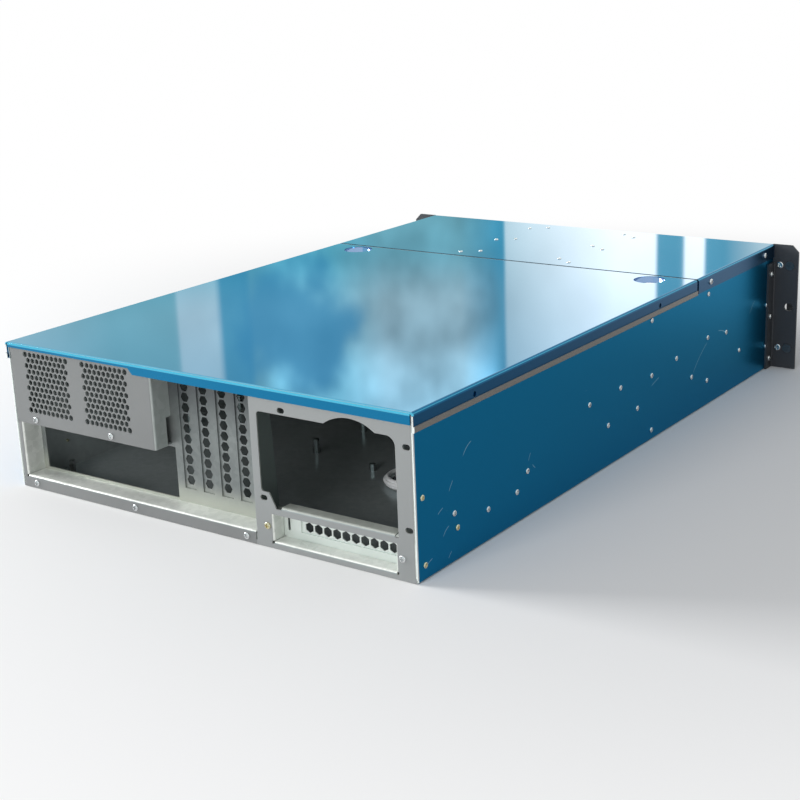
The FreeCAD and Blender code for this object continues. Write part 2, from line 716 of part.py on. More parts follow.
def fan_plate():
    """Perforated plate for two 60 mm fans, with a flange folded in at each side."""
    plate = Piece("fan_plate")
    far = from_left(S.fan_plate_end)
    line = [(panel_edge, behind(S.side_flange)), (panel_edge, rear_y)]
    line += [(far, rear_y), (far, behind(S.recess))]
    plate.pad("XY", S.panel_seam, S.rear_top, folded(line, S.steel, 1, [S.edge_bend, S.bend]))
    notch = rectangle(behind(S.recess + 1), behind(S.flange_notch_back), S.panel_seam - 1, S.flange_notch_top)
    plate.pocket("YZ", far - 1, far + S.steel + 1, notch)
    half = S.fan_screw_pitch / 2
    fan_axes = [from_left(S.fan_first + S.fan_pitch * fan) for fan in range(2)]
    ways = [(a, b) for a in (-1, 1) for b in (-1, 1)]
    corners = [
        Disc(axis + half * a, S.fan_axis + half * b, S.fan_hole / 2)
        for axis in fan_axes for a, b in ways
    ]
    screws = [Disc(from_left(u), S.fan_plate_screw_height, hole_radius) for u in FAN_PLATE_SCREWS]
    plate.pocket("XZ", seat_y - 1, rear_y + 1, *corners, *screws)
    for vents, rows, spread in ((9, 5, 2), (10, 4, 2), (8, 2, 10)):
        first = fan_axes[-1] - S.vent_pitch * ((vents - 1) / 2)
        z = S.fan_axis - S.vent_row * (spread * (rows - 1) / 2)
        row = [hexagon(first + S.vent_pitch * n, z, S.vent_hole, True) for n in range(vents)]
        cut = plate.pocket("XZ", seat_y - 1, rear_y + 1, *row)
        plate.rows(cut, S.fan_pitch, 2, S.vent_row * spread, rows)


def io_wall():
    """Motherboard wall at the back of the recess, with the connector window and four slots."""
    wall = Piece("io_wall")
    face = behind(S.recess)
    near = panel_edge - S.steel - S.lay_gap
    flange = from_left(S.fan_plate_end)
    middle = flange + S.steel + S.lay_gap
    fold_end = flange - S.lay_gap
    far = from_left(S.psu_plate_start) + S.seam
    foot = [(face - S.wall_foot, S.steel), (face, S.steel)]
    step = S.shelf_top - S.steel
    lip = seat_y - S.seam / 4
    line = foot + [(face, step), (lip, step), (lip, step + S.shelf_lip)]
    wall.pad("YZ", middle, near, folded(line, S.steel, 1))
    above = step - fold_reach
    step = S.slot_shelf - S.steel
    line = foot + [(face, step), (face + S.slot_shelf_reach, step)]
    wall.pad("YZ", far, fold_end, folded(line, S.steel, 1))
    tall_edge = from_left(S.tall_wall_start)
    tall_top = step - fold_reach
    between = Outline([
        (fold_end - 1, plate_foot),
        (middle + 1, plate_foot),
        (middle + 1, above),
        (tall_edge, above),
        (tall_edge, tall_top),
        (fold_end - 1, tall_top),
    ])
    wall.pad("XZ", face - S.steel, face, between)
    left = from_left(S.io_edge)
    window = rectangle(left - S.io_width, left, S.io_sill, S.io_sill + S.io_height, S.window_corner)
    wall.pocket("XZ", face - S.steel - 1, face + 1, window)
    last = from_left(S.slot_first + S.slot_pitch * 3)
    half = S.slot_width / 2
    slot = rectangle(last - half, last + half, S.slot_sill, S.slot_top)
    cut = wall.pocket("XZ", face - S.steel - 1, face + 1, slot)
    wall.rows(cut, S.slot_pitch, 4)
    screws = [Disc(from_left(u), S.fan_plate_screw_height, hole_radius) for u in FAN_PLATE_SCREWS]
    wall.pocket("XZ", lip - S.steel - 1, lip + 1, *screws)
    screws = [Disc(x, slot_screw_y, hole_radius) for x in slot_places()]
    wall.pocket("XY", S.slot_shelf - S.steel - 1, S.slot_shelf + 1, *screws)


slot_screw_y = behind(S.recess) + S.slot_shelf_reach / 2


def slot_places():
    return [from_left(S.slot_first + S.slot_pitch * n) for n in range(4)]


def slot_covers():
    """Perforated blanks behind the four slots, each with a tab that lies on the wall's fold."""
    face = behind(S.recess + S.steel)
    for number, x in enumerate(slot_places(), start=1):
        cover = Piece(f"slot_cover_{number}")
        half = S.cover_width / 2
        tab_end = behind(S.recess) + S.slot_shelf_reach - 1
        line = [(face, S.cover_foot), (face, S.slot_shelf), (tab_end, S.slot_shelf)]
        cover.pad("YZ", x - half, x + half, folded(line, S.cover_plate, 1))
        for way in (-1, 1):
            tongue = x + S.cover_tongue / 2 * way
            edge = x + (half + 1) * way
            low, high = (tongue, edge) if way > 0 else (edge, tongue)
            corner = rectangle(low, high, S.cover_foot - 1, S.slot_sill - 1)
            cover.pocket("XZ", face - S.cover_plate - 1, face + 1, corner)
        cover.pocket("XY", S.slot_shelf - 1, S.slot_shelf + S.cover_plate + 1, Disc(x, slot_screw_y, hole_radius))
        vent = hexagon(x, S.hex_first, S.hex_hole, points_up=False)
        cut = cover.pocket("XZ", face - S.cover_plate - 1, face + 1, vent)
        cover.rows(cut, S.hex_pitch, 1, S.hex_pitch, 10)


def psu_plate():
    """Plate for the power supply: its cut-out, a shelf lip, and the window of the low slot."""
    plate = Piece("psu_plate")
    near = from_left(S.psu_plate_start)
    deep = behind(S.inner_flange_foot)
    line = [(near, deep), (near, rear_y)]
    line += [(-panel_edge, rear_y), (-panel_edge, behind(S.side_flange))]
    plate.pad("XY", plate_foot, S.rear_top, folded(line, S.steel, 1, [S.bend, S.edge_bend]))
    taper = Outline([
        (deep, plate_foot),
        (behind(S.inner_flange_top), S.rear_top),
        (behind(S.inner_flange_top), S.rear_top + 1),
        (deep - 1, S.rear_top + 1),
        (deep - 1, plate_foot),
    ])
    plate.pocket("YZ", near - S.steel - 1, near + 1, taper)
    plate.pad("XZ", seat_y, rear_y, rectangle(-panel_edge, near, S.rear_foot, plate_foot + 1))
    left, right = from_left(S.psu_left), from_left(S.psu_right)
    lip_start = from_left(S.psu_lip_start)
    relief = S.psu_sill - fold_reach
    cut_out = Outline([
        (left, S.psu_head, S.window_corner * 3),
        (right, S.psu_head, S.psu_corner),
        (right, relief),
        (from_left(S.psu_slant_foot), relief),
        (from_left(S.psu_slant_top), S.psu_step),
        (left, S.psu_step, S.window_corner * 3),
    ])
    plate.pocket("XZ", seat_y - 1, rear_y + 1, cut_out)
    round_part = Disc(from_left(S.psu_fan_across), S.psu_fan_height, S.psu_fan_radius)
    plate.pocket("XZ", seat_y - 1, rear_y + 1, round_part)
    line = [(rear_y, relief - 1), (rear_y, S.psu_sill), (behind(S.psu_lip), S.psu_sill)]
    lip_end = right + fold_reach + S.lip_gap
    plate.pad("YZ", lip_end, lip_start, folded(line, S.steel, 1))
    low_window(plate)
    height = S.psu_screw_height
    first = from_left(S.psu_screw_across)
    places = [(first, height), (first - S.psu_screw_span, height)]
    places += [(first - S.psu_screw_span, height + S.psu_screw_rise)]
    places += [(first - S.psu_screw_step, height + S.psu_screw_high)]
    slots = [Slot(x, z, S.psu_slot_length, S.psu_slot_width) for x, z in places]
    screws = [Disc(from_left(u), z, hole_radius) for u, z in PSU_PLATE_SCREWS + LOW_PLATE_SCREWS]
    plate.pocket("XZ", seat_y - 1, rear_y + 1, *slots, *screws)


def low_window(plate):
    """Window under the power supply with flaps folded in at its sides and its lower edge."""
    left, right = from_left(S.low_left), from_left(S.low_right)
    deep = behind(S.low_recess - S.lay_gap)
    hole = rectangle(right - fold_reach, left + fold_reach, S.low_sill - fold_reach, S.low_head)
    plate.pocket("XZ", seat_y - 1, rear_y + 1, hole)
    foot = S.low_sill + S.lay_gap
    line = [(left + fold_reach + 1, rear_y), (left, rear_y), (left, deep)]
    plate.pad("XY", foot, S.low_head, folded(line, S.steel, 1))
    line = [(right, deep), (right, rear_y), (right - fold_reach - 1, rear_y)]
    plate.pad("XY", foot, S.low_head, folded(line, S.steel, 1))
    line = [(rear_y, S.low_sill - fold_reach - 1), (rear_y, S.low_sill), (deep, S.low_sill)]
    plate.pad("YZ", right, left, folded(line, S.steel, 1))


def low_slot():
    """Wall behind the low window, and the perforated blank behind its slot."""
    wall = Piece("low_slot_wall")
    face = behind(S.low_recess)
    line = [(face - S.wall_foot, S.steel), (face, S.steel), (face, S.low_wall_top)]
    ends = (from_left(S.low_right + S.wall_spare), from_left(S.low_left - S.wall_spare))
    wall.pad("YZ", *ends, folded(line, S.steel, 1))
    near, far = from_left(S.low_cover_start), from_left(S.low_cover_end)
    opening = rectangle(far, near, S.low_cover_sill, S.low_cover_head)
    length = S.low_head - S.notch_foot
    notch = Slot(
        from_left(S.notch_across), S.notch_foot + length / 2, length, S.notch_width, upright=True,
    )
    wall.pocket("XZ", face - S.steel - 1, face + 1, opening, notch)
    cover = Piece("low_slot_cover")
    back = face - S.steel
    overlap = (S.cover_width - (S.low_cover_head - S.low_cover_sill)) / 2
    end = far - overlap
    line = [(near + overlap, back), (end, back), (end, back - S.slot_shelf_reach)]
    foot, head = S.low_cover_sill - overlap, S.low_cover_head + overlap
    cover.pad("XY", foot, head, folded(line, S.cover_plate, 1))
    last = from_left(S.low_hex_first) - S.hex_pitch * 9
    vent = hexagon(last, S.low_hex_height, S.hex_hole, True)
    cut = cover.pocket("XZ", back - S.cover_plate - 1, back + 1, vent)
    cover.rows(cut, S.hex_pitch, 10)


def psu_rest():
    """Angle on the side wall that carries the power supply's outer edge."""
    rest = Piece("psu_rest")
    line = [(-wall_inner, S.rest_leg), (-wall_inner, S.psu_sill), (-wall_inner + S.rest_width, S.psu_sill)]
    rest.pad("XZ", behind(S.rest_start + S.rest_length), behind(S.rest_start), folded(line, S.steel, -1))


def top_sheet(piece, front, rear):
    """A top with a lip folded down over each side wall."""
    line = [(half_width, S.lip_foot), (half_width, S.case_height)]
    line += [(-half_width, S.case_height), (-half_width, S.lip_foot)]
    piece.pad("XZ", front, rear, folded(line, S.cover_steel, 1, [S.top_bend, S.top_bend]))


def top_cover():
    """Sliding top: hemmed side lips, a stepped rear lip, finger dishes and a front tongue."""
    cover = Piece("top_cover")
    front = behind(S.cover_length)
    top_sheet(cover, front, cover_back)
    outside = half_width + S.cover_steel
    for way in (1, -1):
        corners = [(half_width - S.cover_steel, S.lip_foot - S.cover_steel, S.cover_steel * 0.9)]
        corners += [(outside, S.lip_foot - S.cover_steel, S.cover_steel * 0.9)]
        corners += [(outside, S.lip_foot + S.hem), (half_width - S.cover_steel, S.lip_foot + S.hem)]
        corners = [(corner[0] * way, *corner[1:]) for corner in corners]
        cover.pad("XZ", front, cover_back, Outline(corners))
    round_over = S.top_bend + S.cover_steel
    lip_end = half_width - round_over
    corner = rectangle(cover_back - round_over, cover_back + 1, under_cover - 1, S.case_height + 1)
    cover.pocket("YZ", -lip_end, lip_end, corner)
    line = [(cover_back - round_over - 1, S.case_height), (cover_back, S.case_height)]
    line += [(cover_back, S.rear_lip_low)]
    cover.pad("YZ", -lip_end, lip_end, folded(line, S.cover_steel, -1))
    step_start, step_end = from_left(S.lip_step_start), from_left(S.lip_step_end)
    short = Outline([
        (half_width, S.rear_lip_high),
        (step_start, S.rear_lip_high),
        (step_end, S.rear_lip_low),
        (step_end, S.rear_lip_low - 1),
        (half_width, S.rear_lip_low - 1),
    ])
    cover.pocket("XZ", cover_back - S.cover_steel - S.seam, cover_back + 1, short)
    inset = half_width - S.tongue_inset
    low = under_cover - S.lay_gap
    tongue = Outline([
        (front + S.tongue, under_cover),
        (front + 1, under_cover),
        (front + 1, low),
        (front - S.tongue, low),
        (front - S.tongue, low - S.cover_steel),
        (front + S.tongue, low - S.cover_steel),
    ])
    cover.pad("YZ", -inset, inset, tongue)
    for side in (-1, 1):
        place = (S.dish_across * side, behind(S.dish_back))
        bottom = S.case_height - S.dish_depth
        around = Disc(*place, S.dish_radius + S.cover_steel)
        cover.pad("XY", bottom - S.cover_steel, under_cover + S.seam, around)
        cover.pocket("XY", bottom, S.case_height + 1, Disc(*place, S.dish_radius))
    holes = [Disc(y, S.lip_hole_height, S.lip_hole / 2) for y in cover_screw_places()]
    cover.pocket("YZ", -outside - 1, outside + 1, *holes)


def front_top_panel():
    """Fixed top over the drive bays."""
    panel = Piece("front_top_panel")
    top_sheet(panel, front_y, behind(S.cover_length + S.top_seam))
    holes = [Disc(y, z, hole_radius) for y, z in top_screw_places()]
    panel.pocket("YZ", -half_width - 1, half_width + 1, *holes)


def bay_walls():
    """Four drive bay walls: one at each outer bay and two round the centre bay."""
    names = {
        1: ("left_bay_wall", "centre_bay_left_wall"),
        -1: ("right_bay_wall", "centre_bay_right_wall"),
    }
    for side, (outer_name, centre_name) in names.items():
        for name, wall, way in ((outer_name, S.outer_bay, -1), (centre_name, S.centre_bay, 1)):
            face = from_left(wall) * side
            edge = from_left(wall + S.bay_flange * way) * side
            line = [(edge, S.steel), (face, S.steel), (face, under_cover), (edge, under_cover)]
            section = folded(line, S.bay_wall_steel, side * way)
            start = front_y + fold_reach + S.lay_gap
            Piece(name).pad("XZ", start, front_y + S.bay_depth, section)


def fan_wall():
    """Upright wall with four openings for 80 mm fans, flanged along both side walls."""
    wall = Piece("fan_wall")
    face = behind(S.fan_wall_back)
    line = [(wall_inner, face - S.side_flange), (wall_inner, face)]
    line += [(-wall_inner, face), (-wall_inner, face - S.side_flange)]
    wall.pad("XY", plate_foot, S.fan_wall_height, folded(line, S.steel, 1))
    line = [(face - S.wall_foot, S.steel), (face, S.steel), (face, plate_foot + 1)]
    inner = wall_inner - fold_reach - S.relief
    wall.pad("YZ", -inner, inner, folded(line, S.steel, 1))
    middle = (S.fan_wall_height + S.steel) / 2
    first = -S.wall_fan_pitch * 1.5
    cut = wall.pocket("XZ", face - S.steel - 1, face + 1, Disc(first, middle, S.wall_fan_radius))
    wall.rows(cut, S.wall_fan_pitch, 4)
    across = from_left(S.cord_notch_across)
    half = S.cord_notch_width / 2
    notch = Outline([
        (across - half, 0), (across + half, 0),
        (across + half, S.cord_notch_height, S.bend * 2), (across - half, S.cord_notch_height, S.bend * 2),
    ])
    wall.pocket("XZ", face - S.wall_foot - 1, face + 1, notch)


def bay_blank(name, x, z, width, height):
    """A bay cover: a face plate in front of the panel and a rim in its opening."""
    blank = Piece(name)
    half = width / 2
    blank.pad("XZ", front_face - S.blank_face, front_face, rectangle(x - half, x + half, z, z + height))
    inset = S.blank_rim + S.plug_gap
    wall = inset + S.blank_face
    outer = rectangle(x - half + inset, x + half - inset, z + inset, z + height - inset)
    inner = rectangle(x - half + wall, x + half - wall, z + wall, z + height - wall)
    blank.pad("XZ", front_face, front_face + S.blank_plug, outer, inner)
    rim = S.blank_rim
    return rectangle(x - half + rim, x + half - rim, z + rim, z + height - rim)


def front():
    """Front panel with its drive bay blanks and an air grille."""
    bay_middle = (half_width - S.outer_bay + wall_inner) / 2
    openings = []
    for side, word in ((1, "left"), (-1, "right")):
        for level in range(3):
            place = (bay_middle * side, S.bay_first + S.bay_pitch * level)
            openings.append(bay_blank(f"bay_blank_{word}_{level + 1}", *place, S.blank_width, S.blank_height))
    size = (S.small_blank_width, S.small_blank_height)
    openings.append(bay_blank("small_bay_blank", S.middle, S.small_blank_foot, *size))
    for level in range(int(mm(S.grille_slots))):
        z = S.grille_foot + S.grille_pitch * level
        openings.append(Slot(S.middle, z, S.grille_length, S.grille_width))
    half = S.control_width / 2 - S.blank_rim
    low, high = S.control_foot + S.blank_rim, S.control_foot + S.control_height - S.blank_rim
    openings.append(rectangle(-half, half, low, high))
    panel = Piece("front_panel")
    edge = wall_outer - S.lay_gap
    sheet_outline = rectangle(-edge, edge, S.rear_foot, S.case_height - S.lay_gap)
    panel.pad("XZ", front_face, front_y, sheet_outline, *openings)


def button_places():
    return {"power_button": S.button_across, "reset_button": -S.button_across}


def controls():
    """Control plate with its bosses, the board behind it, two buttons and two lamp lenses."""
    level = S.control_foot + S.control_height / 2
    plate = Piece("control_panel")
    half = S.control_width / 2
    face = front_face - S.control_face
    board = front_face + S.board_back
    holes = [Disc(x, level, S.button_radius + S.button_gap) for x in button_places().values()]
    holes += [Disc(S.led_across * way, level, S.led_radius + S.thread_gap) for way in (-1, 1)]
    outline = rectangle(-half, half, S.control_foot, S.control_foot + S.control_height, S.control_face)
    plate.pad("XZ", face, front_face, outline, *holes)
    bosses = [Polygon(S.boss_across * way, level, S.boss_radius, 6) for way in (-1, 1)]
    plate.pad("XZ", front_face, board, *bosses)

    wide = S.boss_across + S.boss_radius * 2
    tall = S.control_height / 2 - S.blank_rim * 2
    card = Piece("control_board")
    card.pad("XZ", board, board + S.board_steel, rectangle(-wide, wide, level - tall, level + tall))
    switches = [x for x in button_places().values()]
    width = S.switch_width / 2
    bodies = [rectangle(x - width, x + width, level - width, level + width) for x in switches]
    card.pad("XZ", board - S.switch_height, board, *bodies)
    socket = rectangle(-width * 2, width * 2, level - width, level + width)
    card.pad("XZ", board + S.board_steel, board + S.board_steel + S.switch_height, socket)

    for name, x in button_places().items():
        button = Piece(name)
        cap_back = front_face + S.lay_gap
        button.pad("XZ", face - S.button_proud, cap_back, Disc(x, level, S.button_radius))
        flange = Polygon(x, level, S.button_radius + S.button_flange, 12)
        button.pad("XZ", cap_back, cap_back + S.steel, flange)
        stem_end = board - S.switch_height - S.button_travel - S.lay_gap
        button.pad("XZ", cap_back + S.steel, stem_end, Polygon(x, level, S.button_stem, 6))

    lenses = Piece("lamp_lenses")
    places = [(S.led_across * way, level) for way in (-1, 1)]
    domes = [Disc(x, z, S.led_radius) for x, z in places]
    lenses.pad("XZ", face - S.thread_gap * 10, front_face, *domes)
    rims = [Polygon(x, z, S.led_radius + S.bend, HEAD_SIDES) for x, z in places]
    lenses.pad("XZ", front_face, front_face + S.bend, *rims)


def handle_heights():
    middle = S.rack_hole_first + S.rack_unit
    return [middle - S.rack_unit, middle + S.rack_unit]


def rack_ears():
    """Rack ears with their handles."""
    for side, word in ((1, "left"), (-1, "right")):
        ear = Piece(f"rack_ear_{word}")
        outer = S.ear_span / 2 * side
        wall = wall_outer * side
        line = [(outer, ear_face), (wall, ear_face), (wall, front_y + S.ear_flange)]
        ear.pad("XY", S.rear_foot, S.ear_flange_top, folded(line, S.ear_steel, -side))
        x0, x1 = (wall, outer) if side > 0 else (outer, wall)
        ear.pad("XZ", ear_face, front_y, rectangle(x0, x1, S.ear_flange_top - 1, S.case_height))
        across = S.rack_hole_span / 2 * side
        holes = []
        for level in range(3):
            z = S.rack_hole_first + S.rack_unit * level
            holes.append(Slot(across, z, S.rack_slot_length, S.rack_slot_width))
        handle = S.handle_across * side
        holes += [Disc(handle, z, S.handle_screw + S.thread_gap) for z in handle_heights()]
        ear.pocket("XZ", ear_face - 1, front_y + 1, *holes)
        ends = (wall - 1, wall + S.ear_steel + 1) if side > 0 else (wall - S.ear_steel - 1, wall + 1)
        ear.pocket("YZ", *ends, *[Disc(y, z, hole_radius) for y, z in ear_screw_places()])

        def upper_corner(edge, x=mm(outer)):
            box = edge.BoundBox
            at_top = box.ZMin > mm(S.case_height) - 1e-3
            return at_top and abs(box.XMin - x) < 1e-4 and box.XLength < 1e-4 and box.YLength > 1

        ear.soften("Chamfer", S.ear_corner, upper_corner)
        rack_handle(f"handle_{word}", handle)


def rack_handle(name, x):
    """A square bar bent twice, with a threaded hole in each end."""
    handle = Piece(name)
    low, high = handle_heights()
    half = S.handle_rod / 2
    reach = ear_face - S.handle_reach
    line = [(ear_face, low - half), (reach, low - half), (reach, high + half), (ear_face, high + half)]
    inside = [S.handle_bend, S.handle_bend]
    handle.pad("YZ", x - half, x + half, folded(line, S.handle_rod, -1, inside))
    bore = S.handle_screw + S.thread_gap
    depth = S.handle_screw_length - S.ear_steel + 1
    handle.pocket("XZ", ear_face - depth, ear_face + 1, Disc(x, low, bore), Disc(x, high, bore))


# Small fasteners are plain prisms that fit inside the round ones
HEAD_SIDES = 8
SHANK_SIDES = 6


def screws(name, plane, face, way, places, radius=None, head=None, length=None, head_radius=None):
    """Screws as one group: heads on a face that looks along way, shanks into it."""
    radius = radius or S.screw_radius
    head = head or S.screw_head
    length = length or S.screw_length
    head_radius = head_radius or S.screw_head_radius
    group = Piece(name)
    add_screws(group, plane, face, way, places, radius, head, length, head_radius)
    return group


def add_screws(group, plane, face, way, places, radius, head, length, head_radius):
    heads = [Polygon(a, b, head_radius, HEAD_SIDES) for a, b in places]
    shanks = [Polygon(a, b, radius, SHANK_SIDES) for a, b in places]
    if way > 0:
        group.pad(plane, face, face + head, *heads)
        group.pad(plane, face - length, face, *shanks)
    else:
        group.pad(plane, face - head, face, *heads)
        group.pad(plane, face, face + length, *shanks)


def fasteners():
    """Screw and rivet groups."""
    usual = (S.screw_radius, S.screw_head, S.screw_length, S.screw_head_radius)
    places = [(from_left(u), S.frame_screw_height) for u in FRAME_SCREWS]
    places += [(from_left(u), S.fan_plate_screw_height) for u in FAN_PLATE_SCREWS]
    places += [(from_left(u), z) for u, z in LOW_PLATE_SCREWS]
    screws("rear_panel_screws", "XZ", rear_y, 1, places)
    screws("psu_plate_screws", "XZ", rear_y, 1, [(from_left(u), z) for u, z in PSU_PLATE_SCREWS])
    tab_top = S.slot_shelf + S.cover_plate
    screws("slot_cover_screws", "XY", tab_top, 1, [(x, slot_screw_y) for x in slot_places()])
    ears = Piece("ear_screws")
    tops = Piece("top_panel_screws")
    for side in (1, -1):
        add_screws(ears, "YZ", (wall_outer + S.ear_steel) * side, side, ear_screw_places(), *usual)
        add_screws(tops, "YZ", half_width * side, side, top_screw_places(), *usual)
    places = [(S.handle_across * side, z) for side in (1, -1) for z in handle_heights()]
    size = (S.handle_screw, S.screw_head, S.handle_screw_length, S.handle_screw_head)
    screws("handle_screws", "XZ", front_y, 1, places, *size)

    rack = Piece("rack_screws")
    z_low = S.rack_hole_first
    places = [(S.rack_hole_span / 2 * side, z_low + S.rack_unit * n) for side in (1, -1) for n in (0, 2)]
    for start, end, radius, sides in (
        (ear_face - S.thumb_head, ear_face, S.thumb_radius, 12),
        (ear_face, front_y, S.thumb_shank, SHANK_SIDES),
        (front_y, front_y + S.steel, S.rack_slot_length / 2, HEAD_SIDES),
    ):
        rack.pad("XZ", start, end, *[Polygon(x, z, radius, sides) for x, z in places])

    rivets = Piece("top_rivets")
    places = []
    for side in (1, -1):
        outer = from_left(S.outer_bay - S.rivet_inset) * side
        inner = from_left(S.centre_bay + S.rivet_inset) * side
        for row in range(3):
            back = S.rivet_first + S.rivet_pitch * row
            places += [(outer, behind(back)), (inner, behind(back + S.rivet_stagger))]
    top = S.case_height
    heads = [Polygon(x, y, S.rivet_head_radius, HEAD_SIDES) for x, y in places]
    rivets.pad("XY", top, top + S.rivet_head, *heads)


def standoffs():
    """Hexagonal posts under the motherboard, threaded at its corners, and one short post."""
    posts = Piece("standoffs")
    base = S.steel
    columns = [S.board_hole_first + shift for shift in (0, S.board_column, S.board_last_column)]
    rows = [S.board_hole_row + shift for shift in (0, S.board_row, S.board_last_row)]
    places = [(u, d) for u in columns for d in rows]
    del places[-2]
    shapes = [hexagon(from_left(u), behind(d), S.standoff_flats, True) for u, d in places]
    posts.pad("XY", base, base + S.standoff_height, *shapes)
    extra = hexagon(from_left(S.post_across), behind(S.post_back), S.standoff_flats, True)
    posts.pad("XY", base, base + S.standoff_height / 2, extra)
    used = [(u, d) for u in (columns[0], columns[2]) for d in (rows[0], rows[2])]
    threads = [Disc(from_left(u), behind(d), S.standoff_thread) for u, d in used]
    top = base + S.standoff_height
    posts.pocket("XY", top - S.standoff_bore, top + 1, *threads)


# The front panel lead runs along the case's floor from the control board to a small coil
# beside the power supply opening. Points are X, distance behind the rear panels, Z.
LEAD_ROUTE = [
    (0, 635.8, 110), (0, 612, 108), (1, 592, 86), (2, 580, 52), (0, 560, 16), (-5, 518, 3.5),
    (-14, 464, 3.4), (-28, 408, 3.5), (-36, 352, 3.4), (-48, 298, 3.5), (-61, 250, 3.4),
    (-66, 208, 3.5), (-66, 172, 3.4),
]
LEAD_DIAMETER = 4


def lead_path(points):
    """Straight runs joined by tangent arcs, each as large as its two runs allow."""
    radii = []
    edges = []
    start = points[0]
    for before, corner, after in zip(points, points[1:], points[2:]):
        back, ahead = (before - corner), (after - corner)
        half_turn = (math.pi - back.getAngle(ahead)) / 2
        setback = 0.45 * min(back.Length, ahead.Length)
        radii.append(setback / math.tan(half_turn))
        entry = corner + back.normalize() * setback
        leave = corner + ahead.normalize() * setback
        bisector = (entry + leave) * 0.5 - corner
        middle = corner + bisector.normalize() * (math.hypot(radii[-1], setback) - radii[-1])
        edges.append(Part.LineSegment(start, entry).toShape())
        edges.append(Part.Arc(entry, middle, leave).toShape())
        start = leave
    edges.append(Part.LineSegment(start, points[-1]).toShape())
    return Part.Wire(edges), radii


def free_piece(label, shape):
    """A piece whose shape is set directly."""
    piece = doc.addObject("Part::Feature", label)
    piece.Shape = shape
    piece.Label = label
    piece.Placement = FreeCAD.Placement()
    Piece.every.append(piece)
    return piece


def front_panel_lead():
    """The lead's tube, the outer shape of its coil, and the plug at its end."""
    back = mm(rear_y)
    points = [Vector(x, back - depth, z) for x, depth, z in LEAD_ROUTE]
    points[0].y = mm(front_face + S.board_back + S.board_steel + S.switch_height)
    wire, radii = lead_path(points)
    print("lead bend radii:", " ".join(f"{radius:.0f}" for radius in radii))
    section = Part.Wire(Part.Circle(points[0], points[1] - points[0], LEAD_DIAMETER / 2).toShape())
    tube = wire.makePipeShell([section], True, False)
    expected = math.pi * (LEAD_DIAMETER / 2) ** 2 * wire.Length
    print(f"lead length {wire.Length:.0f} mm, volume {tube.Volume / expected:.4f} of section times length")
    free_piece("front_panel_lead", tube)
    across, depth, _ = LEAD_ROUTE[-1]
    middle = (across - S.coil_radius, behind(depth))
    half = S.coil_width / 2
    coil = Piece("lead_coil")
    low = S.steel + S.coil_lift
    band = [Disc(*middle, S.coil_radius + half), Disc(*middle, S.coil_radius - half)]
    coil.pad("XY", low, low + S.coil_height, *band)
    plug = Piece("lead_plug")
    x = middle[0] - S.coil_radius
    end = middle[1] - S.plug_back
    half = S.plug_width / 2
    body = rectangle(x - half, x + half, S.steel, S.steel + S.plug_height)
    plug.pad("XZ", end - S.plug_length, end, body)


for build in (
    chassis_tub, rear_frame, fan_plate, io_wall, slot_covers, psu_plate, low_slot, psu_rest,
    top_cover, front_top_panel, bay_walls, fan_wall, front, controls, rack_ears, fasteners,
    standoffs, front_panel_lead,
):
    build()
doc.recompute()

for thing in doc.Objects:
    if {"Invalid", "Error"} & set(thing.State):
        raise RuntimeError(f"{thing.Label} ({thing.Name}) failed: {thing.State}")
for piece in Piece.every:
    if piece.Shape.isNull() or not piece.Shape.isValid() or not piece.Shape.Solids:
        raise RuntimeError(f"{piece.Label} has no valid solid")

os.makedirs("parts", exist_ok=True)
for piece in Piece.every:
    piece.Shape.exportStep(f"parts/{piece.Label}.step")
    box = piece.Shape.BoundBox
    print(f"{piece.Label}: {len(piece.Shape.Solids)} solid, volume {piece.Shape.Volume:.0f}, "
          f"X {box.XMin:.1f} {box.XMax:.1f} Y {box.YMin:.1f} {box.YMax:.1f} Z {box.ZMin:.1f} {box.ZMax:.1f}")
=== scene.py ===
"""Looks of the empty rackmount server case: finishes for its sheets, and its small pieces."""
import json
import math

import bpy
from mathutils import Matrix, Vector


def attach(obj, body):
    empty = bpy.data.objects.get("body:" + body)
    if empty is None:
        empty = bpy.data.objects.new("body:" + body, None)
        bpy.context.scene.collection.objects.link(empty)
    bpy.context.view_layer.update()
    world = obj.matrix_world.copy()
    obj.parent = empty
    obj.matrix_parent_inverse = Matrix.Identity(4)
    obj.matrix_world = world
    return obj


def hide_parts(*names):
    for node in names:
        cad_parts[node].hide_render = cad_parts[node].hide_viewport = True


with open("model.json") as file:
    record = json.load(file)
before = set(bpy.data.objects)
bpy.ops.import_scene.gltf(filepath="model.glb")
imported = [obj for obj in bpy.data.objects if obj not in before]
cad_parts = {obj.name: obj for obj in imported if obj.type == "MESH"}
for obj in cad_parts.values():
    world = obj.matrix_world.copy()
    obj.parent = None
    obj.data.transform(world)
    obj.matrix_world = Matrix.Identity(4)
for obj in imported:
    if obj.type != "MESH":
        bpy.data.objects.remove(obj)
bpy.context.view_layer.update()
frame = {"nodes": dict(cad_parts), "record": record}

MM = 0.001
WHITE = (1.0, 1.0, 1.0, 1.0)

# Places in the case, in millimetres: the rear panels' outer face along Y, and either side
# wall's outer face along X. Distances behind the rear panels run from REAR towards the front.
REAR = 349.25
WALL_OUTER = 213.5


# ---------------------------------------------------------------- finishes

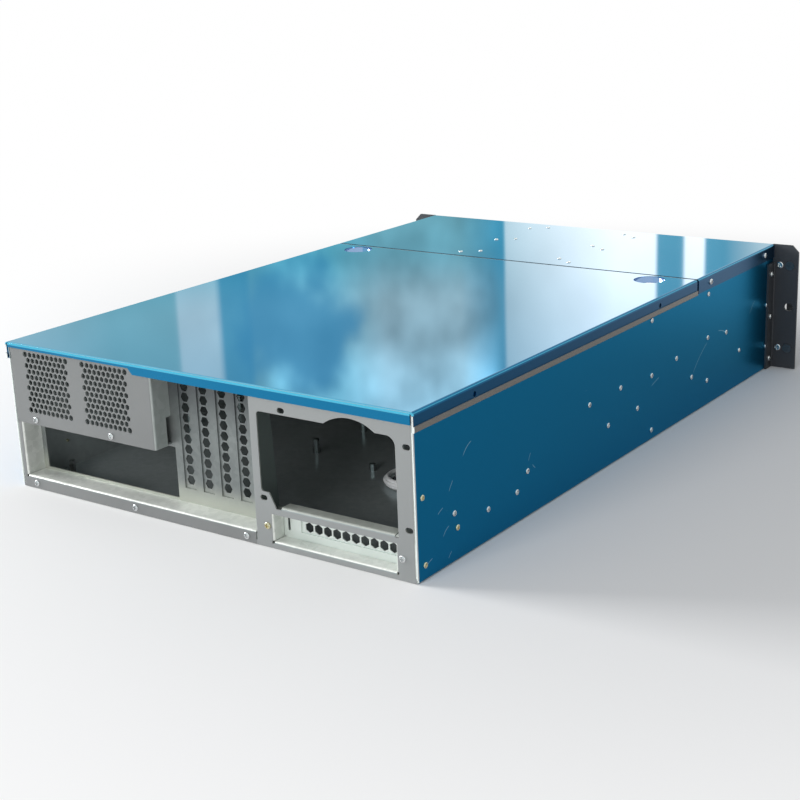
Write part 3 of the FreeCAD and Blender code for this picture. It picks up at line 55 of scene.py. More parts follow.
class Value:
    """A shader socket, with operators that add Math nodes."""

    def __init__(self, finish, socket):
        self.finish, self.socket = finish, socket

    def __add__(self, other):
        return self.finish.math("ADD", self, other)

    __radd__ = __add__

    def __sub__(self, other):
        return self.finish.math("SUBTRACT", self, other)

    def __rsub__(self, other):
        return self.finish.math("SUBTRACT", other, self)

    def __mul__(self, other):
        return self.finish.math("MULTIPLY", self, other)

    __rmul__ = __mul__

    def __truediv__(self, other):
        return self.finish.math("DIVIDE", self, other)

    def __gt__(self, other):
        return self.finish.math("GREATER_THAN", self, other)

    def __lt__(self, other):
        return self.finish.math("LESS_THAN", self, other)

    def __abs__(self):
        return self.finish.math("ABSOLUTE", self)

    def either(self, other):
        """The larger of two values."""
        return self.finish.math("MAXIMUM", self, other)


class Shading:
    """Shader nodes built from expressions on values."""

    def __init__(self, tree):
        self.tree = tree
        tree.nodes.clear()

    def axes(self, vector):
        """The three parts of a vector."""
        return [self.node("ShaderNodeSeparateXYZ", inputs={0: vector}, output=axis)
                for axis in "XYZ"]

    def node(self, kind, settings=None, inputs=None, output=0):
        """A new node: its settings first, then what its sockets get."""
        node = self.tree.nodes.new(kind)
        for name, value in (settings or {}).items():
            if name == "stops":
                ramp = node.color_ramp
                while len(ramp.elements) < len(value):
                    ramp.elements.new(0.5)
                for element, (position, colour) in zip(ramp.elements, value):
                    element.position = position
                    element.color = colour
            else:
                setattr(node, name, value)
        for key, value in (inputs or {}).items():
            self.feed(node.inputs[key], value)
        return Value(self, node.outputs[output])

    def feed(self, socket, value):
        """Links a value to a socket, or sets a plain number or colour on it."""
        if isinstance(value, Value):
            self.tree.links.new(value.socket, socket)
        else:
            socket.default_value = value

    def math(self, operation, *values):
        """A Math node on the values."""
        settings = {"operation": operation}
        return self.node("ShaderNodeMath", settings, dict(enumerate(values)))

    def rise(self, value, low, high):
        """0 below low, 1 above high, smooth between."""
        settings = {"interpolation_type": "SMOOTHSTEP"}
        inputs = {0: value, 1: low, 2: high, 3: 0.0, 4: 1.0}
        return self.node("ShaderNodeMapRange", settings, inputs)

    def between(self, value, rising, falling):
        """1 between two edges and 0 outside, each edge given by where it starts and ends."""
        return self.rise(value, *rising) * (1 - self.rise(value, *falling))

    def noise(self, scale, detail=2.0, rough=0.5, where=None):
        """Cloudy noise, on the piece's own place unless told where."""
        inputs = {"Vector": where or self.place, "Scale": scale,
                  "Detail": detail, "Roughness": rough}
        return self.node("ShaderNodeTexNoise", inputs=inputs)

    def mix(self, factor, first, second):
        """A colour between first and second."""
        settings = {"data_type": "RGBA"}
        return self.node("ShaderNodeMix", settings, {0: factor, 6: first, 7: second}, output=2)

    def filtered(self, factor, base, filter_colour):
        """A colour seen through a coloured filter."""
        settings = {"data_type": "RGBA", "blend_type": "MULTIPLY"}
        inputs = {0: factor, 6: base, 7: filter_colour}
        return self.node("ShaderNodeMix", settings, inputs, output=2)

    def stained(self, colour_value, amount):
        """A colour made lighter or darker by a number."""
        settings = {"operation": "SCALE"}
        return self.node("ShaderNodeVectorMath", settings, {0: colour_value, "Scale": amount})


SOCKETS = {
    "color": "Base Color", "roughness": "Roughness", "metallic": "Metallic", "normal": "Normal",
    "coat": "Coat Weight", "coat_roughness": "Coat Roughness",
    "specular": "Specular IOR Level", "edge": "Specular Tint",
}


class Finish(Shading):
    """A material whose shader is fed by expressions on values."""

    def __init__(self, name):
        self.material = bpy.data.materials.new(name)
        self.material.use_nodes = True
        super().__init__(self.material.node_tree)
        self.shader = self.tree.nodes.new("ShaderNodeBsdfPrincipled")
        output = self.tree.nodes.new("ShaderNodeOutputMaterial")
        self.tree.links.new(self.shader.outputs["BSDF"], output.inputs["Surface"])
        self.place = self.node("ShaderNodeTexCoord", output="Object")
        self.x, self.y, self.z = self.axes(self.place)

    def stretched(self, scale):
        """The place, scaled along each axis."""
        settings = {"operation": "MULTIPLY"}
        return self.node("ShaderNodeVectorMath", settings, {0: self.place, 1: scale})

    def bump(self, height, strength, distance):
        """A Bump node for the shader's normal."""
        inputs = {"Height": height, "Strength": strength, "Distance": distance}
        return self.node("ShaderNodeBump", inputs=inputs)

    def surface(self, **sockets):
        """Feeds the shader's sockets and returns the material."""
        for name, value in sockets.items():
            self.feed(self.shader.inputs[SOCKETS[name]], value)
        return self.material


def colour(hex_code):
    """A colour as it looks on screen, in the shader's own scale."""
    parts = [int(hex_code[n:n + 2], 16) / 255 for n in (0, 2, 4)]
    return (*[p / 12.92 if p <= 0.04045 else ((p + 0.055) / 1.055) ** 2.4 for p in parts], 1.0)


# Zinc crystals: how fine they are, and their share of the pattern beside its clouds.
CRYSTAL_SCALE, CRYSTAL_SHARE = 220.0, 0.35


def spangle(finish, base, light):
    """Zinc coating: a faint crystal pattern under soft clouds, as a colour and its amount."""
    cells = finish.node("ShaderNodeTexVoronoi", {"feature": "F1"},
                        {"Vector": finish.place, "Scale": CRYSTAL_SCALE}, "Color")
    grain = finish.node("ShaderNodeSeparateColor", inputs={0: cells}, output=0)
    cloud = finish.noise(24.0, 3.0)
    amount = grain * CRYSTAL_SHARE + cloud * (1 - CRYSTAL_SHARE)
    return finish.mix(amount, base, light), amount


# Scratches on the right side wall seen from behind: distance behind the rear panels and
# height of both ends, and how far the line bows, in millimetres.
SCRATCHES = [
    ((75.9, 89.3), (62.9, 79.6), 1.6), ((49.2, 66.2), (43.3, 58.3), 0.3),
    ((35.3, 48.9), (27.6, 45.3), 0.3), ((42.9, 32.1), (33.9, 25.2), 1.2),
    ((45.0, 10.8), (40.3, 6.0), 0.3), ((19.6, 14.2), (12.4, 11.5), 0.2),
    ((162.2, 53.5), (158.4, 46.9), 0.4), ((164.6, 42.7), (169.4, 38.1), 0.4),
    ((500.5, 65.2), (465.8, 39.1), 2.2), ((615.6, 81.4), (602.2, 69.5), 1.2),
    ((394.3, 56.4), (377.4, 51.6), 0.4), ((524.2, 70.2), (544.5, 63.3), -1.5),
]
# How far from its middle a scratch starts and ends to fade, in millimetres, over which share
# of its length it comes up and dies away, and the side wall that has them, in metres.
SCRATCH_CORE, SCRATCH_EDGE = 0.12, 0.42
SCRATCH_START, SCRATCH_END = (0.0, 0.12), (0.8, 1.0)
SCRATCHED_SIDE = (-0.2136, -0.2133)


def scratches(finish):
    """1 on a scratch, 0 elsewhere."""
    total = 0.0
    for (start_y, start_z), (end_y, end_z), bow in SCRATCHES:
        start = Vector(((REAR - start_y) * MM, start_z * MM))
        end = Vector(((REAR - end_y) * MM, end_z * MM))
        reach = (end - start).length
        along = (end - start) / reach
        from_y, from_z = finish.y - start.x, finish.z - start.y
        share = (from_y * along.x + from_z * along.y) / reach
        off = from_y * -along.y + from_z * along.x - share * (1 - share) * (4 * bow * MM)
        line = 1 - finish.rise(abs(off), SCRATCH_CORE * MM, SCRATCH_EDGE * MM)
        line = line * finish.between(share, SCRATCH_START, SCRATCH_END)
        total = line + total
    return total * (1 - finish.rise(finish.x, *SCRATCHED_SIDE))


# Middle of each finger dish in the cover, from the case's middle and behind the rear panels,
# its radius, and how far its painted reflection runs past that, in millimetres.
DISH_ACROSS, DISH_BACK, DISH_RADIUS = 173.5, 453, 15
DISH_SPARE = 0.1

# Where the blue sheets change finish, or carry painted shade, a painted highlight or a painted
# reflection: each change starts and ends, in metres. FACE is a distance from the case's middle,
# BACK a distance towards the rear, TOP and FOOT a height.
# The side walls, which carry painted shade as well as their rougher film.
SIDE_FACE = (0.2128, 0.2132)
# The cover's side lips, which carry painted shade.
LIP_FACE, LIP_FOOT = (0.2142, 0.2146), (0.1172, 0.1176)
# The cover's rear bend and side bends, which carry a painted highlight.
REAR_BEND_BACK, REAR_BEND_FOOT = (0.3486, 0.3496), (0.1297, 0.1303)
SIDE_BEND_FACE, SIDE_BEND_FOOT = (0.2140, 0.2146), (0.1311, 0.1316)
UNDERSIDE_TOP = (0.0002, 0.0008)
# The finger dishes' bowls, which carry a painted reflection.
BOWL_FOOT, BOWL_TOP = (0.1287, 0.1290), (0.1318, 0.1323)
COVER_TOP, COVER_BACK = (0.1318, 0.1322), (0.3500, 0.3504)
HEM_FACE, HEM_TOP = (0.2150, 0.2152), (0.1223, 0.1226)
WALL_END_BACK, WALL_END_FOOT, WALL_END_TOP = (0.3476, 0.3480), 0.0008, 0.1172
LIP_END_BACK, LIP_END_FOOT = (0.3500, 0.3503), (0.1296, 0.1303)

# Roughness and metallic of the zinc inside and of the film, and what the side walls add.
ZINC_ROUGH, FILM_ROUGH, SIDE_ROUGH = 0.2, 0.04, 0.24
ZINC_METALLIC, FILM_METALLIC = 0.24, 0.94

# Scuffs in the film: how strong the long streaks and the patches that hold them must be, and
# how far scuffs and scratches show.
STREAKS_SHOW, PATCHES_SHOW = (0.70, 0.76), (0.52, 0.62)
SCUFF_SHARE, SCRATCH_SHARE = 0.2, 0.75


def blue_film(name, edge=WHITE):
    """Sheet with a glossy blue metallic film outside and bare zinc inside."""
    finish = Finish(name)
    from_middle = abs(finish.x)
    zinc, _ = spangle(finish, colour("9AA1A1"), colour("ADB4B4"))
    patches = finish.noise(3.2, 2.0, where=finish.stretched((1.0, 0.55, 1.0)))
    blue = finish.mix(patches, colour("0A6F9C"), colour("0D7AA8"))

    streaks = finish.noise(60.0, 3.0, 0.6, finish.stretched((0.25, 1.0, 9.0)))
    scuffs = finish.rise(streaks, *STREAKS_SHOW) * finish.rise(finish.noise(14.0), *PATCHES_SHOW)
    marks = (scuffs * SCUFF_SHARE).either(scratches(finish) * SCRATCH_SHARE)

    side = finish.rise(from_middle, *SIDE_FACE)
    lip = finish.rise(from_middle, *LIP_FACE) * finish.rise(finish.z, *LIP_FOOT)
    # Painted shade: the side walls are mixed 30% towards a darker blue, for the shade they stand
    # in.
    blue = finish.mix(side * 0.3, blue, colour("075A80"))
    # Painted shade: the cover's side lips are mixed 85% towards a deep blue, darker than the
    # walls below them.
    blue = finish.mix(lip * 0.85, blue, colour("04476E"))
    # Painted highlight: a pale cyan line along the cover's rear bend and side bends.
    rear_bend_highlight = finish.rise(finish.y, *REAR_BEND_BACK) * finish.rise(finish.z, *REAR_BEND_FOOT)
    side_bend_highlight = (finish.rise(from_middle, *SIDE_BEND_FACE)
                 * finish.rise(finish.z, *SIDE_BEND_FOOT))
    blue = finish.mix(rear_bend_highlight.either(side_bend_highlight) * 0.75, blue, colour("63CDEB"))
    blue = finish.mix(marks, blue, colour("B4DAE8"))

    across = from_middle - DISH_ACROSS * MM
    away = finish.y - (REAR - DISH_BACK) * MM
    dish = (across * across + away * away) < ((DISH_RADIUS + DISH_SPARE) * MM) ** 2
    bowl = dish * finish.between(finish.z, BOWL_FOOT, BOWL_TOP)
    # Painted reflection: each dish's bowl is coloured a pale lilac blue for the light it
    # mirrors.
    blue = finish.mix(bowl, blue, colour("A9B9D6"))

    below = 1 - finish.rise(finish.z, *UNDERSIDE_TOP)
    top = finish.rise(finish.z, *COVER_TOP).either(bowl)
    back = finish.rise(finish.y, *COVER_BACK)
    hem = finish.rise(from_middle, *HEM_FACE) * (1 - finish.rise(finish.z, *HEM_TOP))
    wall_end = (finish.rise(finish.y, *WALL_END_BACK)
                * (finish.z < WALL_END_TOP) * (finish.z > WALL_END_FOOT))
    lip_end = (finish.rise(finish.y, *LIP_END_BACK) * side
               * (1 - finish.rise(finish.z, *LIP_END_FOOT)))
    cut_edge = wall_end.either(lip_end)
    outside = side.either(below).either(top).either(back) * (1 - hem) * (1 - cut_edge)

    bare = finish.mix(hem, zinc, colour("7E7A74"))
    bare = finish.mix(cut_edge, bare, colour("DDE2DF"))
    return finish.surface(
        color=finish.mix(outside, bare, blue),
        roughness=(outside * (FILM_ROUGH - ZINC_ROUGH) + outside * side * SIDE_ROUGH
                   + marks * 0.2 + ZINC_ROUGH),
        metallic=outside * (FILM_METALLIC - ZINC_METALLIC) + ZINC_METALLIC,
        edge=edge,
        coat=outside * (1 - side) * 0.2,
        coat_roughness=0.03,
        normal=finish.bump(patches, 0.02, 0.0004),
    )


# Where the rear panels change finish, in metres: the height at which flap tone turns to shelf
# tone, both tones painting light or shade, the flange along the power supply plate's left edge,
# darkened as painted shade, and the outer face.
SHELF_FOOT = (0.030, 0.034)
FLANGE_FROM, FLANGE_TO = (-0.0606, -0.0602), (-0.0584, -0.0582)
PANEL_FRONT = (0.3488, 0.3491)


def grey_sheet(name, dark, light, flap="F0F2ED", shelf="F0F2ED"):
    """Rear panels: satin grey outside, zinc on the folded flaps."""
    finish = Finish(name)
    cloud = finish.noise(9.0, 3.0)
    satin = finish.mix(cloud, colour(dark), colour(light))
    crystals, grain = spangle(finish, colour("D0D3D0"), colour("FFFFFF"))
    # Painted light and shade: the zinc flaps are paler than bare zinc for the light the low
    # sills and cheeks catch, and a darker tone given for the higher flaps is painted shade.
    shelves = finish.rise(finish.z, *SHELF_FOOT)
    zinc = finish.filtered(1.0, crystals, finish.mix(shelves, colour(flap), colour(shelf)))
    # Painted shade: the flange along the power supply plate's left edge is darkened, for the
    # shade inside its opening.
    zinc = finish.mix(finish.between(finish.x, FLANGE_FROM, FLANGE_TO), zinc, colour("6C7774"))
    front = finish.rise(finish.y, *PANEL_FRONT)
    fine = finish.noise(900.0, 2.0)
    return finish.surface(
        color=finish.mix(front, zinc, satin),
        roughness=grain * 0.12 + 0.34,
        metallic=front * 0.5 + 0.2,
        normal=finish.bump(fine, 0.05, 0.0002),
    )


# Heights between which painted shade darkens the inner sheets towards the top, and below which
# a painted reflection of the floor makes them paler, in metres.
SHADED_TOP, LIT_FOOT = (0.07, 0.122), (0.012, 0.036)


def zinc_sheet(name, dark, light, shade_tone="43474A", lit_tone="C6C8BC"):
    """Inner sheets: zinc coated steel, with painted shade towards the top and a painted
    reflection of the floor at the foot.
    """
    finish = Finish(name)
    tone, grain = spangle(finish, colour(dark), colour(light))
    # Painted shade: up to 80% towards a dark grey towards the top, for the shade under the
    # cover.
    tone = finish.mix(finish.rise(finish.z, *SHADED_TOP) * 0.8, tone, colour(shade_tone))
    # Painted reflection: up to 75% towards a pale tone at the foot, for the bright floor the
    # zinc mirrors.
    tone = finish.mix(0.75 - finish.rise(finish.z, *LIT_FOOT) * 0.75, tone, colour(lit_tone))
    fine = finish.noise(700.0, 2.0)
    return finish.surface(
        color=tone,
        roughness=grain * 0.16 + 0.28,
        metallic=0.6,
        normal=finish.bump(fine, 0.05, 0.0002),
    )


def black_coat(name, roughness=0.42, size=1600.0):
    """Fine textured black powder coat or moulded plastic."""
    finish = Finish(name)
    grain = finish.noise(size, 2.0)
    tone = finish.mix(grain, colour("2C2E31"), colour("3A3C41"))
    return finish.surface(
        color=tone,
        roughness=grain * 0.14 + roughness,
        normal=finish.bump(grain, 0.35, 0.00025),
    )


def plated(name, dark, light, roughness):
    """Plated screw or post metal with slight tarnish."""
    finish = Finish(name)
    cloud = finish.noise(420.0, 3.0)
    return finish.surface(
        color=finish.mix(cloud, colour(dark), colour(light)),
        roughness=cloud * 0.2 + roughness,
        metallic=1.0,
    )


def moulded(name, dark, light, roughness):
    """Plain plastic with a faint mottle."""
    finish = Finish(name)
    cloud = finish.noise(900.0, 2.0)
    return finish.surface(
        color=finish.mix(cloud, colour(dark), colour(light)),
        roughness=cloud * 0.1 + roughness,
        normal=finish.bump(cloud, 0.1, 0.0002),
    )


FINISHES = {
    "blue_sheet": blue_film("blue_film"),
    "grey_sheet": grey_sheet("rear_panel_grey", "838484", "929393"),
    "galvanised": zinc_sheet("zinc_sheet", "6F7475", "8E9391"),
    "black_sheet": black_coat("black_powder_coat"),
    "black_plastic": black_coat("black_moulding", 0.5, 2400.0),
    "button_plastic": moulded("button_plastic", "17181A", "232427", 0.2),
    "rack_screw_zinc": plated("rack_screw_zinc", "5C5E60", "7C7E80", 0.3),
    "lens": moulded("lamp_lens", "C9D2D2", "E3EAEA", 0.12),
    "circuit_board": moulded("board_laminate", "0B4A22", "14602E", 0.32),
    "handle_metal": plated("handle_metal", "9DA0A4", "B7BABD", 0.26),
    "screw_zinc": plated("screw_zinc", "C2C4C6", "EAEBEB", 0.14),
    "screw_yellow": plated("screw_yellow_zinc", "C6BD9A", "E6E0C6", 0.16),
    "post_nickel": plated("post_nickel", "97999A", "C4C6C6", 0.2),
    "lead_plastic": moulded("lead_sleeve", "E9EBEC", "F6F7F7", 0.42),
    "plug_plastic": moulded("plug_plastic", "D0CFC7", "E2E1DA", 0.4),
}

# Sheets with their own copy of a finish: the side film with a bluer tint to its edge reflection,
# and lighter or darker copies of the grey and zinc, which paint light and shade on those sheets.
OWN_FINISHES = {
    "chassis_tub": blue_film("side_film", (0.6, 0.9, 1.0, 1.0)),
    # Painted light and shade: a lighter grey for the power supply plate, for the light on it,
    # with darker higher flaps for their shade.
    "psu_plate": grey_sheet("power_supply_plate_lit_grey", "949696", "A3A5A5",
                            shelf="B4B8B2"),
    # Painted shade: a darker grey and darker flaps for the fan plate, for the shade on it.
    "fan_plate": grey_sheet("fan_plate_shaded_grey", "7E7F7F", "8D8E8E", "B0B6B4", "B0B6B4"),
    # Painted light: a paler zinc for the low slot wall and its cover, for the light they catch
    # low down.
    "low_slot_wall": zinc_sheet("lit_pale_zinc_sheet", "CDD3CF", "E3E7E3", lit_tone="E1E8E3"),
}
OWN_FINISHES["low_slot_cover"] = OWN_FINISHES["low_slot_wall"]

for subpart in frame["record"]["subparts"]:
    node = subpart["node"]
    materials = frame["nodes"][node].data.materials
    materials.clear()
    materials.append(OWN_FINISHES.get(node) or FINISHES[subpart["material_slot"]])


# ---------------------------------------------------------------- small pieces

def alone(piece):
    """Selects one piece and nothing else."""
    bpy.ops.object.select_all(action="DESELECT")
    piece.select_set(True)
    bpy.context.view_layer.objects.active = piece


def cut(piece, cutter):
    """Takes cutter's shape out of piece and removes cutter."""
    alone(piece)
    modifier = piece.modifiers.new("cut", "BOOLEAN")
    modifier.operation = "DIFFERENCE"
    modifier.object = cutter
    bpy.ops.object.modifier_apply(modifier=modifier.name)
    bpy.data.objects.remove(cutter)


def bevelled(piece, width, above):
    """Rounds the edges of piece that lie above a height."""
    alone(piece)
    bpy.ops.object.mode_set(mode="EDIT")
    bpy.ops.mesh.select_mode(type="EDGE")
    bpy.ops.mesh.select_all(action="DESELECT")
    bpy.ops.object.mode_set(mode="OBJECT")
    points = piece.data.vertices
    for edge in piece.data.edges:
        edge.select = all(points[n].co.z > above for n in edge.vertices)
    bpy.ops.object.mode_set(mode="EDIT")
    bpy.ops.mesh.bevel(offset=width, segments=4, affect="EDGES")
    bpy.ops.object.mode_set(mode="OBJECT")


def settled(piece):
    """Puts a piece's place into its mesh."""
    alone(piece)
    bpy.ops.object.transform_apply(location=True, rotation=True, scale=True)
    return piece


def cylinder(radius, height, bottom, sides):
    """A cylinder standing on the height bottom."""
    bpy.ops.mesh.primitive_cylinder_add(vertices=sides, radius=radius, depth=height,
                                        location=(0, 0, bottom + height / 2))
    return settled(bpy.context.object)


def joined(piece, others, crease):
    """Joins others to piece and smooths it, up to a crease angle in degrees."""
    alone(piece)
    for other in others:
        other.select_set(True)
    if others:
        bpy.ops.object.join()
    alone(piece)
    bpy.ops.object.shade_smooth_by_angle(angle=math.radians(crease))
    return piece


def screw_head(radius, height, shank, shank_length):
    """A pan head screw with a cross recess, head up, its seat at the origin."""
    bpy.ops.object.select_all(action="DESELECT")
    head = cylinder(radius, height, 0, 32)
    bevelled(head, height * 0.62, height * 0.99)
    arm, reach, depth = radius * 0.2, radius * 0.66, height * 0.8
    for length, width in ((reach, arm), (arm, reach)):
        bpy.ops.mesh.primitive_cube_add(size=2, location=(0, 0, height),
                                        scale=(length, width, depth))
        cut(head, settled(bpy.context.object))
    return joined(head, [cylinder(shank, shank_length, -shank_length, 16)], 40)


def dome(radius, height):
    """A rivet head, its seat at the origin."""
    bpy.ops.object.select_all(action="DESELECT")
    head = cylinder(radius, height, 0, 28)
    bevelled(head, height * 0.8, height * 0.99)
    return joined(head, [], 50)


# How a piece that stands head up turns to face each way of the case.
TOWARDS = {
    "back": Matrix.Rotation(math.radians(-90), 4, "X"),
    "up": Matrix.Identity(4),
    "left": Matrix.Rotation(math.radians(90), 4, "Y"),
    "right": Matrix.Rotation(math.radians(-90), 4, "Y"),
    "front": Matrix.Rotation(math.radians(90), 4, "X"),
}


# Each copy of a piece is turned on by this many degrees, so that no two stand alike.
TURN_STEP = 37


def repeated(master, name, spots, finish, nodes=()):
    """Copies of master at (point, direction) spots, as one piece that stands for nodes."""
    copies = []
    for number, (point, direction) in enumerate(spots):
        copy = master.copy()
        copy.data = master.data.copy()
        turn = Matrix.Rotation(math.radians(TURN_STEP * number), 4, "Z")
        copy.data.transform(Matrix.Translation(point) @ TOWARDS[direction] @ turn)
        bpy.context.scene.collection.objects.link(copy)
        copies.append(copy)
    bpy.ops.object.select_all(action="DESELECT")
    for copy in copies:
        copy.select_set(True)
    bpy.context.view_layer.objects.active = copies[0]
    if len(copies) > 1:
        bpy.ops.object.join()
    piece = bpy.context.object
    piece.name = name
    piece.data.materials.clear()
    piece.data.materials.append(FINISHES[finish])
    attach(piece, "case")
    if nodes:
        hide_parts(*nodes)
    return piece


def solids_in(node):
    """The lowest and highest corner of each solid in a fastener group."""
    mesh = frame["nodes"][node].data
    merged = {}
    links = {}
    for vertex in mesh.vertices:
        merged.setdefault(tuple(round(c, 5) for c in vertex.co), []).append(vertex.index)
    keys = {index: key for key, indices in merged.items() for index in indices}
    for polygon in mesh.polygons:
        corners = [keys[index] for index in polygon.vertices]
        for corner in corners:
            links.setdefault(corner, set()).update(corners)
    groups, seen = [], set()
    for start in sorted(links):
        if start in seen:
            continue
        group, queue = [], [start]
        seen.add(start)
        while queue:
            key = queue.pop()
            group.append(key)
            for other in links[key]:
                if other not in seen:
                    seen.add(other)
                    queue.append(other)
        low = Vector(min(key[n] for key in group) for n in range(3))
        high = Vector(max(key[n] for key in group) for n in range(3))
        groups.append((low, high))
    return groups


# Screws and rivets, in millimetres: head radius, head height, shank radius, shank length.
PAN_HEAD = (2.9, 1.5, 1.5, 3.2)
HANDLE_HEAD = (3.6, 1.5, 2.0, 9.0)
SIDE_HEAD = (2.4, 0.9, 1.4, 2.6)
RIVET_DOME = (2.2, 0.8)

SCREW = screw_head(*[size * MM for size in PAN_HEAD])
HANDLE_SCREW = screw_head(*[size * MM for size in HANDLE_HEAD])
SIDE_SCREW = screw_head(*[size * MM for size in SIDE_HEAD])
RIVET = dome(*[size * MM for size in RIVET_DOME])


def screw_groups():
    """Screws with their cross recess, where the plain ones stand."""
    faces = {"rear_panel_screws": "back", "psu_plate_screws": "back", "slot_cover_screws": "up",
             "handle_screws": "back", "ear_screws": "sides", "top_panel_screws": "sides"}
    slots = {part["node"]: part["material_slot"] for part in frame["record"]["subparts"]}
    for node, face in faces.items():
        spots = []
        master, sizes = SCREW, PAN_HEAD
        if node == "handle_screws":
            master, sizes = HANDLE_SCREW, HANDLE_HEAD
        head = sizes[1] * MM
        for low, high in solids_in(node):
            middle = (low + high) / 2
            if face == "back":
                spots.append((Vector((middle.x, high.y - head, middle.z)), "back"))
            elif face == "up":
                spots.append((Vector((middle.x, middle.y, high.z - head)), "up"))
            elif middle.x > 0:
                spots.append((Vector((high.x - head, middle.y, middle.z)), "left"))
            else:
                spots.append((Vector((low.x + head, middle.y, middle.z)), "right"))
        repeated(master, f"{node}_detailed", spots, slots[node], nodes=[node])


# Screws in both side walls, as distance behind the rear panels and height: rails, drive bays,
# fan wall, and on one side the power supply rest.
WALL_SCREWS = [
    (294, 38.3), (349.8, 38.6), (463.8, 38.4), (577.1, 37.9),
    (260, 66.5), (316.9, 66.5), (429.7, 65.5), (543.5, 64.5),
    (499.4, 25.9), (499.5, 69.3), (499.4, 112.8), (647.5, 25.2),
    (646.9, 69.8), (378.4, 9.8), (378, 62), (377.4, 114),
]
REST_SCREWS = [(96.7, 26.7), (139.6, 26.7), (49.6, 39.4), (156.4, 39.3)]
YELLOW_SCREWS = [(8.7, 65.3), (9.8, 12.2), (53.5, 26.7)]


def side_screws():
    """Screws along both side walls."""
    zinc, yellow = [], []
    for side, direction in ((1, "left"), (-1, "right")):
        for found, places in ((zinc, WALL_SCREWS), (zinc, REST_SCREWS), (yellow, YELLOW_SCREWS)):
            if side < 0 or places is not REST_SCREWS:
                for behind, height in places:
                    seat = Vector((WALL_OUTER * side, REAR - behind, height)) * MM
                    found.append((seat, direction))
    repeated(SIDE_SCREW, "side_wall_screws", zinc, "screw_zinc")
    repeated(SIDE_SCREW, "side_wall_yellow_screws", yellow, "screw_yellow")


def top_rivets():
    """Domed rivets in the front top panel, where the plain ones stand."""
    spots = []
    for low, high in solids_in("top_rivets"):
        seat = Vector(((low.x + high.x) / 2, (low.y + high.y) / 2, low.z))
        spots.append((seat, "up"))
    repeated(RIVET, "top_rivets_domed", spots, "screw_zinc", nodes=["top_rivets"])


# Rack screws, in millimetres: head, shank through the ear's sheet, washer behind it, slot in
# the head (half width and depth), and the knurl's 48 faces, every second one sunk.
KNOB_RADIUS, KNOB_HEIGHT = 5.0, 8.0
SHANK_RADIUS, EAR_SHEET = 3.0, 2.0
WASHER_RADIUS, WASHER_THICKNESS = 4.75, 1.2
SLOT_HALF_WIDTH, SLOT_DEPTH = 0.6, 1.4
KNURL_FACES, KNURL_EDGE, KNURL_DEPTH = 48, 0.12, 0.25


def thumb_screws():
    """Knurled rack screws with a slot, and their washers behind the ears."""
    radius, head = KNOB_RADIUS * MM, KNOB_HEIGHT * MM
    sheet, washer = EAR_SHEET * MM, WASHER_THICKNESS * MM
    bpy.ops.object.select_all(action="DESELECT")
    knob = cylinder(radius, head, 0, KNURL_FACES)
    bpy.ops.object.mode_set(mode="EDIT")
    bpy.ops.mesh.select_mode(type="FACE")
    bpy.ops.mesh.select_all(action="DESELECT")
    bpy.ops.object.mode_set(mode="OBJECT")
    for face in knob.data.polygons:
        turned = math.atan2(face.center.y, face.center.x) / (2 * math.pi / KNURL_FACES)
        face.select = abs(face.normal.z) < 0.5 and round(turned - 0.5) % 2 == 0
    bpy.ops.object.mode_set(mode="EDIT")
    bpy.ops.mesh.inset(thickness=KNURL_EDGE * MM, depth=-KNURL_DEPTH * MM, use_individual=True)
    bpy.ops.object.mode_set(mode="OBJECT")
    bpy.ops.mesh.primitive_cube_add(size=2, location=(0, 0, head),
                                    scale=(radius * 1.2, SLOT_HALF_WIDTH * MM, SLOT_DEPTH * MM))
    cut(knob, settled(bpy.context.object))
    joined(knob, [cylinder(SHANK_RADIUS * MM, sheet, -sheet, 32),
                  cylinder(WASHER_RADIUS * MM, washer, -sheet - washer, 32)], 35)
    spots = []
    for low, high in solids_in("rack_screws"):
        middle = (low + high) / 2
        spots.append((Vector((middle.x, low.y + head, middle.z)), "front"))
    repeated(knob, "rack_screws_knurled", spots, "rack_screw_zinc", nodes=["rack_screws"])
    bpy.data.objects.remove(knob)


# The front panel lead's route: X, distance behind the rear panels, Z, in millimetres.
LEAD_ROUTE = [
    (0, 635.8, 110), (0, 612, 108), (1, 592, 86), (2, 580, 52), (0, 560, 16), (-5, 518, 3.5),
    (-14, 464, 3.4), (-28, 408, 3.5), (-36, 352, 3.4), (-48, 298, 3.5), (-61, 250, 3.4),
    (-66, 208, 3.5), (-66, 172, 3.4),
]
LEAD = 4
# Its coil: radius, how far that wanders, how much wider it is after the first turn, its first
# height and its rise for each turn, in millimetres; the wander's pace in radians for each turn;
# and the coil's turns and the points of each.
COIL_RADIUS, COIL_WANDER, COIL_WIDER = 22, 1.3, 0.8
COIL_FOOT, COIL_RISE = 3.4, 2.07
WANDER_PACE = 2.3
COIL_TURNS, COIL_STEPS = 2.5, 14


